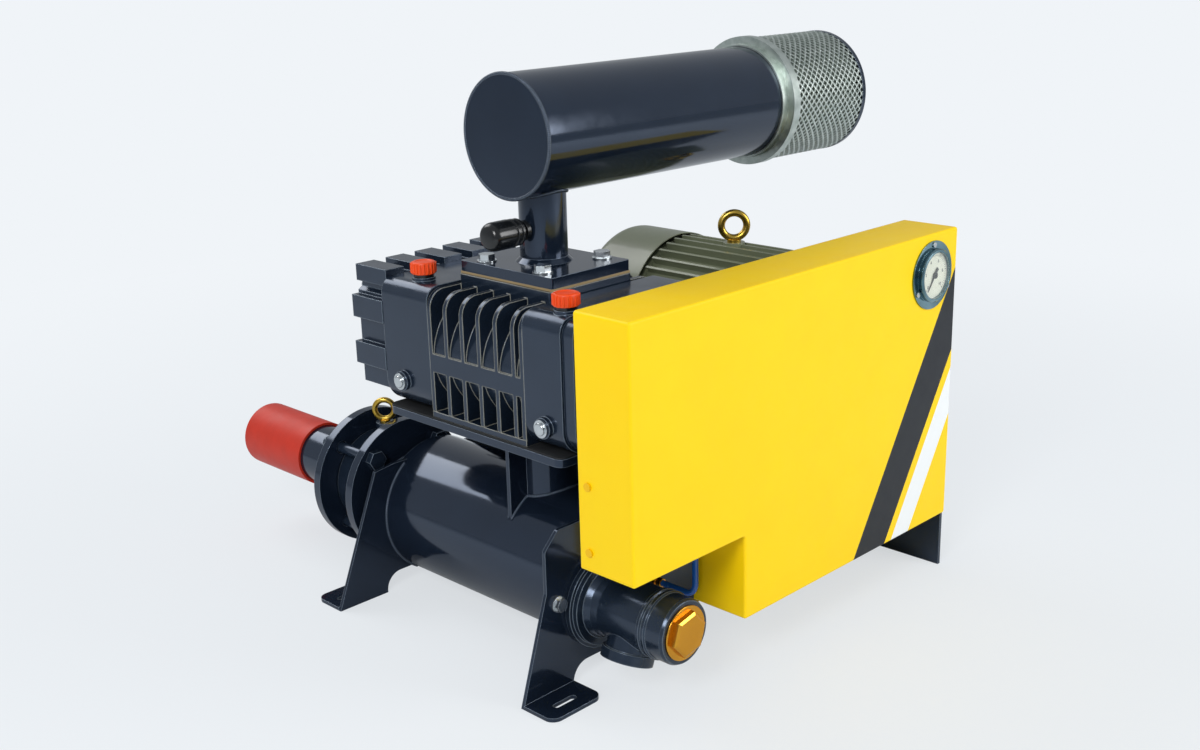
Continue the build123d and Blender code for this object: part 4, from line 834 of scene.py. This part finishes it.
@dataclass
class PressureGauge:
    """Printed dial and pointer of the panel gauge. Sizes in millimetres."""

    dial_y: float = -294.2
    print_gap: float = 0.1
    tick_radius: float = 25.5
    first_angle: float = 225.0
    sweep: float = 270.0
    divisions: int = 40
    figures: tuple[str, ...] = ("0", "2", "4", "6", "8", "10")
    figure_size: float = 6.4
    figure_inset: float = 5.4
    print_height: float = 0.2
    pointer_angle: float = 233.0
    pointer_gap: float = 0.8
    pointer_half: tuple[tuple[float, float], ...] = ((25.5, 0.35), (4.0, 1.5), (-6.0, 2.2), (-11.0, 2.6))
    pointer_height: float = 0.8
    hub_radius: float = 4.2
    hub_height: float = 2.3

    def ticks(self, count: int, length: float, width: float, name: str) -> Piece:
        """Printed strokes round the scale.

        Args:
            count: number of gaps between strokes.
            length: stroke length.
            width: stroke width.
            name: the new object's name.
        """
        values = {
            "Strokes": count + 1,
            "Radius": mm(self.tick_radius + length / 2),
            "Length": mm(length),
            "Width": mm(width),
        }
        tree, ins = new_tree(name + "_tree", values)
        size = vector(tree, X=ins["Length"], Y=ins["Width"], Z=mm(self.print_height))
        stroke = add_node(tree, "GeometryNodeMeshCube", {"Size": size}).outputs["Mesh"]
        spots, index = points(tree, ins["Strokes"])
        share = calc(tree, "DIVIDE", index, calc(tree, "SUBTRACT", ins["Strokes"], 1.0))
        first = math.radians(self.first_angle)
        angle = calc(tree, "MULTIPLY_ADD", share, -math.radians(self.sweep), first)
        outward = vector(tree, X=calc(tree, "COSINE", angle), Y=calc(tree, "SINE", angle))
        reach = {0: outward, "Scale": ins["Radius"]}
        there = made(tree, "ShaderNodeVectorMath", reach, operation="SCALE")
        moved = made(tree, "GeometryNodeSetPosition", {"Geometry": spots, "Position": there})
        strokes = spread(tree, moved, stroke, Rotation=vector(tree, Z=angle))
        centre = at(GAUGE_X, self.dial_y - self.print_gap, GAUGE_Z)
        end_tree(tree, shifted(tree, strokes, centre, (math.pi / 2, 0.0, 0.0)), Surface.DIAL_BLACK)
        return from_tree(name, tree, values)

    def figure(self, text: str, share: float) -> Piece:
        """One figure of the scale, as a flat mesh.

        Args:
            text: the figure.
            share: its place along the sweep, from 0 to 1.
        """
        curve = bpy.data.curves.new("figure_" + text, "FONT")
        curve.body = text
        curve.size = mm(self.figure_size)
        curve.align_x = "CENTER"
        curve.align_y = "CENTER"
        curve.extrude = 0.00008
        holder = linked("figure_" + text, curve)
        data = evaluated(holder)
        bpy.data.objects.remove(holder)
        angle = math.radians(self.first_angle - self.sweep * share)
        radius = self.tick_radius - self.figure_inset
        x = GAUGE_X + radius * math.cos(angle)
        z = GAUGE_Z + radius * math.sin(angle)
        spot = at(x, self.dial_y - self.print_gap, z)
        data.transform(stand(spot, 1))
        return linked("dial_figure_" + text, data)

    def pointer(self) -> Piece:
        """Lacquered pointer with its hub and broad tail."""
        spot = at(GAUGE_X, self.dial_y - self.pointer_gap, GAUGE_Z)
        turn = Matrix.Rotation(math.radians(self.pointer_angle), 4, "Z")
        blade = self.pointer_half + tuple((x, -y) for x, y in reversed(self.pointer_half))
        mesh = bmesh.new()
        faces = []
        for outline in (blade, circle(self.hub_radius, 32)):
            faces.append(mesh.faces.new([mesh.verts.new((mm(x), mm(y), 0)) for x, y in outline]))
        for face, height in zip(faces, (self.pointer_height, self.hub_height)):
            grown = bmesh.ops.extrude_face_region(mesh, geom=[face])["geom"]
            lifted = [v for v in grown if isinstance(v, bmesh.types.BMVert)]
            bmesh.ops.translate(mesh, vec=(0, 0, mm(height)), verts=lifted)
        mesh.transform(stand(spot, 1) @ turn)
        return from_bmesh("pointer_blade", mesh, smooth=False)

    def build(self) -> None:
        """Builds the printed scale and dresses the gauge."""
        last = len(self.figures) - 1
        prints = [self.ticks(self.divisions, 2.2, 0.35, "fine_strokes")]
        prints.append(self.ticks(last, 3.6, 0.8, "main_strokes"))
        prints += [self.figure(text, i / last) for i, text in enumerate(self.figures)]
        for piece in prints:
            place(piece, Surface.DIAL_BLACK)
        dress(["gauge_case"], Surface.GAUGE_STAINLESS)
        dress(["gauge_dial"], Surface.DIAL_ENAMEL)
        place(self.pointer(), Surface.DIAL_BLACK, ["gauge_pointer"], "pointer")
        dress(["gauge_glass"], Surface.CLEAR_GLASS)
        dress(["gauge_tube"], Surface.BLUE_TUBE)
        dress(["gauge_fittings"], Surface.TURNED_BRASS)


@dataclass
class FilterIndicator:
    """Service indicator screwed into the intake neck. Sizes in millimetres."""

    start: float = 30.5
    height: float = 540.0
    barrel_radius: float = 17.9
    nose_radius: float = 10.0
    barrel_end: float = 52.0
    nose_length: float = 11.0

    def build(self) -> None:
        """Turns the indicator: nipple, two rings, ribbed barrel with a round end."""
        outline = [
            (0, -1), (9, -1), (9, 0.2), (12.5, 0.4), (12.5, 6), (9.5, 7), (9.5, 12), (16, 12.6), (17, 14),
            (17, 17), (15.2, 18), (15.2, 20), (17.4, 21), (17.4, 25), (15.6, 26), (15.6, 28),
            (self.barrel_radius, 29.5), (self.barrel_radius, self.barrel_end),
        ]
        rounding = self.barrel_radius - self.nose_radius
        for turn in (math.radians(15 * i) for i in range(1, 6)):
            across = self.nose_radius + rounding * math.cos(turn)
            outline.append((across, self.barrel_end + self.nose_length * math.sin(turn)))
        outline += [(self.nose_radius, self.barrel_end + self.nose_length), (0, 63.8)]
        barrel = turned("indicator_barrel", outline, stand(at(-self.start, 0, self.height), -1, "Y"))
        place(barrel, Surface.BLACK_MOULDING, ["filter_indicator"])


@dataclass
class OilCaps:
    """Ribbed filler caps on the two oil chambers. Sizes in millimetres."""

    places: tuple[tuple[float, float], ...] = ((-92.0, 127.5), (-94.0, -135.0))
    seat: float = 479.0
    radius: float = 15.6
    height: float = 15.6
    ribs: int = 20
    rib_depth: float = 1.3
    rib_short: float = 3.4

    def grip(self, x: float, y: float, number: int) -> Piece:
        """Grip ribs round the numbered cap at X and Y."""
        values = {
            "Ribs": self.ribs,
            "Radius": mm(self.radius),
            "Depth": mm(self.rib_depth),
            "Height": mm(self.height - self.rib_short),
        }
        tree, ins = new_tree(f"grip_ribs_{number}", values)
        corners = {"Vertices": ins["Ribs"], "Radius": ins["Radius"]}
        ring = made(tree, "GeometryNodeMeshCircle", corners)
        post = {"Vertices": 10, "Radius": ins["Depth"], "Depth": ins["Height"]}
        rib = add_node(tree, "GeometryNodeMeshCylinder", post).outputs["Mesh"]
        there = at(x, y, self.seat + self.height / 2)
        end_tree(tree, shifted(tree, spread(tree, ring, rib), there), Surface.ORANGE_MOULDING)
        return from_tree(f"oil_cap_grip_{number}", tree, values)

    def build(self) -> None:
        """Turns each cap and sets its grip ribs."""
        r, h = self.radius, self.height
        outline = [
            (0, 0), (r - 0.6, 0), (r, 0.6), (r, h - 2.4), (r - 0.7, h - 0.8), (r - 2.4, h), (r - 5, h),
            (r - 6, h - 0.8), (0, h - 0.8),
        ]
        for number, (x, y) in enumerate(self.places):
            cap = turned(f"oil_cap_{number}", outline, stand(at(x, y, self.seat)))
            place(cap, Surface.ORANGE_MOULDING, ["oil_caps"] if number == 0 else [])
            place(self.grip(x, y, number), Surface.ORANGE_MOULDING)


@dataclass
class BrassPlug:
    """Adjusting plug in the relief valve's mouth. Sizes in millimetres."""

    seat_y: float = -280.0
    thread_radius: float = 28.0
    collar_radius: float = 34.0
    flats: float = 50.0
    tilt: float = 12.0
    collar_height: float = 2.4
    head_height: float = 8.4

    def build(self) -> None:
        """Builds collar and tapered hexagon with its turned-down corners."""
        base = stand(at(RELIEF_X, self.seat_y, RELIEF_Z), 1)
        t, r, h = self.thread_radius, self.collar_radius, self.collar_height
        outline = [(0, -4), (t, -4), (t, 0.05), (r - 0.4, 0.05), (r, 0.5), (r, h - 0.6), (r - 0.6, h), (0, h)]
        collar = turned("plug_collar", outline, base, 96)
        place(collar, Surface.TURNED_BRASS, ["relief_plug"])
        corner = self.flats / math.sqrt(3)
        top = h + self.head_height
        levels = ((1.0, h - 0.3), (0.985, top - 2.4), (0.86, top - 0.2), (0.5, top))
        angles = [math.radians(60 * i + self.tilt) for i in range(6)]
        mesh = bmesh.new()
        rings = []
        for share, height in levels:
            spots = [(corner * share * math.cos(a), corner * share * math.sin(a)) for a in angles]
            rings.append([mesh.verts.new((mm(x), mm(y), mm(height))) for x, y in spots])
        bridge(mesh, rings)
        mesh.faces.new(rings[0])
        mesh.faces.new(rings[-1])
        mesh.transform(base)
        place(from_bmesh("plug_hexagon", mesh, smooth=False), Surface.TURNED_BRASS)


@dataclass
class ReliefSpring:
    """Coil spring that the relief disc squeezes as it lifts. Sizes in millimetres."""

    disc_end: float = -180.2
    plug_end: float = -253.8
    radius: float = 14.0
    wire_radius: float = 1.5
    turns: float = 5.0

    def build(self) -> None:
        """Winds the spring from the disc's end towards the plug."""
        values = {
            "Radius": mm(self.radius),
            "Wire": mm(self.wire_radius),
            "Length": mm(self.disc_end - self.plug_end - 2 * self.wire_radius),
            "Turns": self.turns,
        }
        tree, ins = new_tree("coil_spring", values)
        round_wire = {"Resolution": 12, "Radius": ins["Wire"]}
        profile = add_node(tree, "GeometryNodeCurvePrimitiveCircle", round_wire).outputs["Curve"]
        run = {"Curve": helix(tree, ins, 36), "Profile Curve": profile, "Fill Caps": True}
        wire = made(tree, "GeometryNodeCurveToMesh", run)
        first = at(RELIEF_X, self.disc_end - self.wire_radius, RELIEF_Z)
        end_tree(tree, shifted(tree, wire, first, (math.pi / 2, 0.0, 0.0)), Surface.STEEL)
        spring = from_tree("relief_coil", tree, values)
        paint(spring.data, Surface.STEEL)
        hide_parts("relief_spring")
        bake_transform(spring)


@dataclass(frozen=True)
class Assembly:
    """CAD nodes that keep their shape and only get their finishes."""

    name: str
    finishes: tuple[tuple[Surface, tuple[str, ...]], ...]
    splits: tuple[tuple[str, int, float, Surface, Surface], ...] = ()

    def build(self) -> None:
        """Dresses the nodes of one finish, then those of two."""
        log.info("dressing the %s", self.name)
        for surface, nodes in self.finishes:
            dress(nodes, surface)
        for split in self.splits:
            dress_split(*split)


BASE = Assembly(
    "base",
    (
        (Surface.BLACK_ENAMEL, ("base_silencer", "front_plate", "rear_plates", "motor_deck", "right_leg")),
        (Surface.BLACK_ENAMEL, ("neck_flange", "discharge_pipe")),
        (Surface.BRIGHT_ZINC, ("frame_bolts", "motor_bolts", "case_bolts", "inlet_bolts")),
        (Surface.CAST_ENAMEL, ("check_valve_body", "relief_body", "flange_bolts")),
        (Surface.STEEL, ("check_valve_pin", "check_valve_flap", "relief_disc")),
        (Surface.YELLOW_ZINC, ("lifting_eyes",)),
        (Surface.RED_SILICONE, ("discharge_sleeve",)),
    ),
    (
        ("guard_screws", 0, 0.0, Surface.PAINTED_SCREW, Surface.BRIGHT_ZINC),
        ("gaskets", 2, 0.35, Surface.GRAPHITE_GASKET, Surface.FIBRE_GASKET),
    ),
)
BLOWER = Assembly(
    "blower",
    (
        (Surface.CAST_ENAMEL, ("gear_case", "drive_case", "gear_cover", "drive_cover")),
        (Surface.FIN_ENAMEL, ("blower_housing",)),
        (Surface.MACHINED_IRON, ("drive_rotor", "driven_rotor")),
        (Surface.STEEL, ("bearings", "drive_gear", "driven_gear")),
        (Surface.BLACK_RUBBER, ("shaft_seal",)),
        (Surface.BLACK_MOULDING, ("cap_collars",)),
        (Surface.BRIGHT_ZINC, ("sight_glasses",)),
        (Surface.BLACK_ENAMEL, ("inlet_neck", "intake_silencer")),
    ),
)
DRIVE = Assembly(
    "drive",
    (
        (Surface.MOTOR_ENAMEL, ("motor_body", "motor_shields", "fan_cowl", "terminal_box")),
        (Surface.STEEL, ("motor_rotor",)),
        (Surface.BLACK_MOULDING, ("motor_fan",)),
        (Surface.PHOSPHATED_IRON, ("blower_pulley", "motor_pulley")),
        (Surface.BELT_RUBBER, ("v_belts",)),
        (Surface.GUARD_YELLOW, ("belt_guard",)),
        (Surface.BLACK_ENAMEL, ("guard_tray",)),
    ),
)


@dataclass
class Studio:
    """Pale floor, soft lights and the camera. Sizes in metres."""

    position: tuple[float, float, float] = (-1.37479, -1.33232, 0.88104)
    yaw: float = 45.010
    pitch: float = 17.055
    roll: float = -1.543
    lens: float = 42.707
    sensor_width: float = 36.0
    backdrop: str = "#f0f4f8"
    floor_half: float = 40.0
    shadow_reach: tuple[float, float] = (0.7, 2.4)
    near_glow: float = 0.7
    ambient: float = 0.5
    target: tuple[float, float, float] = (0.0, 0.0, 0.35)
    lamps: tuple[tuple[tuple[float, float, float], float, float], ...] = (
        ((-2.6, -1.2, 2.0), 1.0, 46.0),
        ((1.5, -3.0, 1.5), 1.6, 56.0),
        ((-0.4, 2.4, 2.6), 1.8, 40.0),
    )

    def floor(self) -> None:
        """Pale floor that shows near white to the camera and keeps the shadow."""
        mesh = bmesh.new()
        bmesh.ops.create_grid(mesh, x_segments=2, y_segments=2, size=self.floor_half)
        data = bpy.data.meshes.new("studio_floor")
        mesh.to_mesh(data)
        mesh.free()
        floor = linked("studio_floor", data)
        material, tree = blank("pale_floor")
        matt = made(tree, "ShaderNodeBsdfDiffuse", {"Color": linear("#dfe3e6")})
        light = {"Color": linear(self.backdrop), "Strength": 1.0}
        glow = made(tree, "ShaderNodeEmission", light)
        seen = add_node(tree, "ShaderNodeLightPath").outputs["Is Camera Ray"]
        where = add_node(tree, "ShaderNodeTexCoord").outputs["Object"]
        away = add_node(tree, "ShaderNodeVectorMath", {0: where}, operation="LENGTH").outputs["Value"]
        near, far = self.shadow_reach
        plain = ranged(tree, away, near, far, self.near_glow, 1.0, interpolation_type="SMOOTHSTEP")
        share = calc(tree, "MULTIPLY", seen, plain)
        shader = made(tree, "ShaderNodeMixShader", {0: share, 1: matt, 2: glow})
        add_node(tree, "ShaderNodeOutputMaterial", {"Surface": shader})
        data.materials.append(material)

    def world(self) -> None:
        """Even studio light, with the pale backdrop behind it."""
        world = bpy.data.worlds.new("studio")
        bpy.context.scene.world = world
        world.use_nodes = True
        tree = world.node_tree
        tree.nodes.clear()
        shades = []
        for colour, strength in (("#eef3f8", self.ambient), (self.backdrop, 1.0)):
            light = {"Color": linear(colour), "Strength": strength}
            shades.append(made(tree, "ShaderNodeBackground", light))
        path = add_node(tree, "ShaderNodeLightPath").outputs
        direct = calc(tree, "MAXIMUM", path["Is Camera Ray"], path["Is Transmission Ray"])
        shader = made(tree, "ShaderNodeMixShader", {0: direct, 1: shades[0], 2: shades[1]})
        add_node(tree, "ShaderNodeOutputWorld", {"Surface": shader})

    def lights(self) -> None:
        """Large soft lamps aimed at the blower."""
        for number, (spot, size, watts) in enumerate(self.lamps):
            lamp = bpy.data.lights.new(f"softbox_{number}", "AREA")
            lamp.shape = "SQUARE"
            lamp.size = size
            lamp.energy = watts
            holder = linked(lamp.name, lamp)
            holder.location = spot
            aim = Vector(self.target) - Vector(spot)
            holder.rotation_euler = aim.to_track_quat("-Z", "Y").to_euler()

    def camera(self) -> None:
        """Camera at the photograph's viewing angle."""
        yaw, pitch, roll = (math.radians(a) for a in (self.yaw, self.pitch, self.roll))
        level = math.cos(pitch)
        ahead = Vector((math.sin(yaw) * level, math.cos(yaw) * level, -math.sin(pitch)))
        right = Vector((math.cos(yaw), -math.sin(yaw), 0.0))
        up = right.cross(ahead)
        rolled_right = right * math.cos(roll) + up * math.sin(roll)
        rolled_up = -right * math.sin(roll) + up * math.cos(roll)
        data = bpy.data.cameras.new("camera")
        data.lens = self.lens
        data.sensor_width = self.sensor_width
        camera = linked("camera", data)
        facing = Matrix((rolled_right, rolled_up, -ahead)).transposed().to_4x4()
        camera.matrix_world = Matrix.Translation(self.position) @ facing
        bpy.context.scene.camera = camera

    def build(self) -> None:
        """Sets the stage."""
        self.floor()
        self.world()
        self.lights()
        self.camera()
        bpy.context.scene.view_settings.view_transform = "Standard"


def main() -> None:
    """Builds every part of the picture in order."""
    logging.basicConfig(level=logging.INFO, format="%(message)s")
    assemblies = (
        BASE, BLOWER, DRIVE, FilterCanister(), FilterIndicator(), OilCaps(), BrassPlug(), ReliefSpring(),
        WeldSeams(), PressureGauge(), Studio(),
    )
    for part in assemblies:
        log.info("building %s", type(part).__name__)
        part.build()


if __name__ == "__main__":
    main()
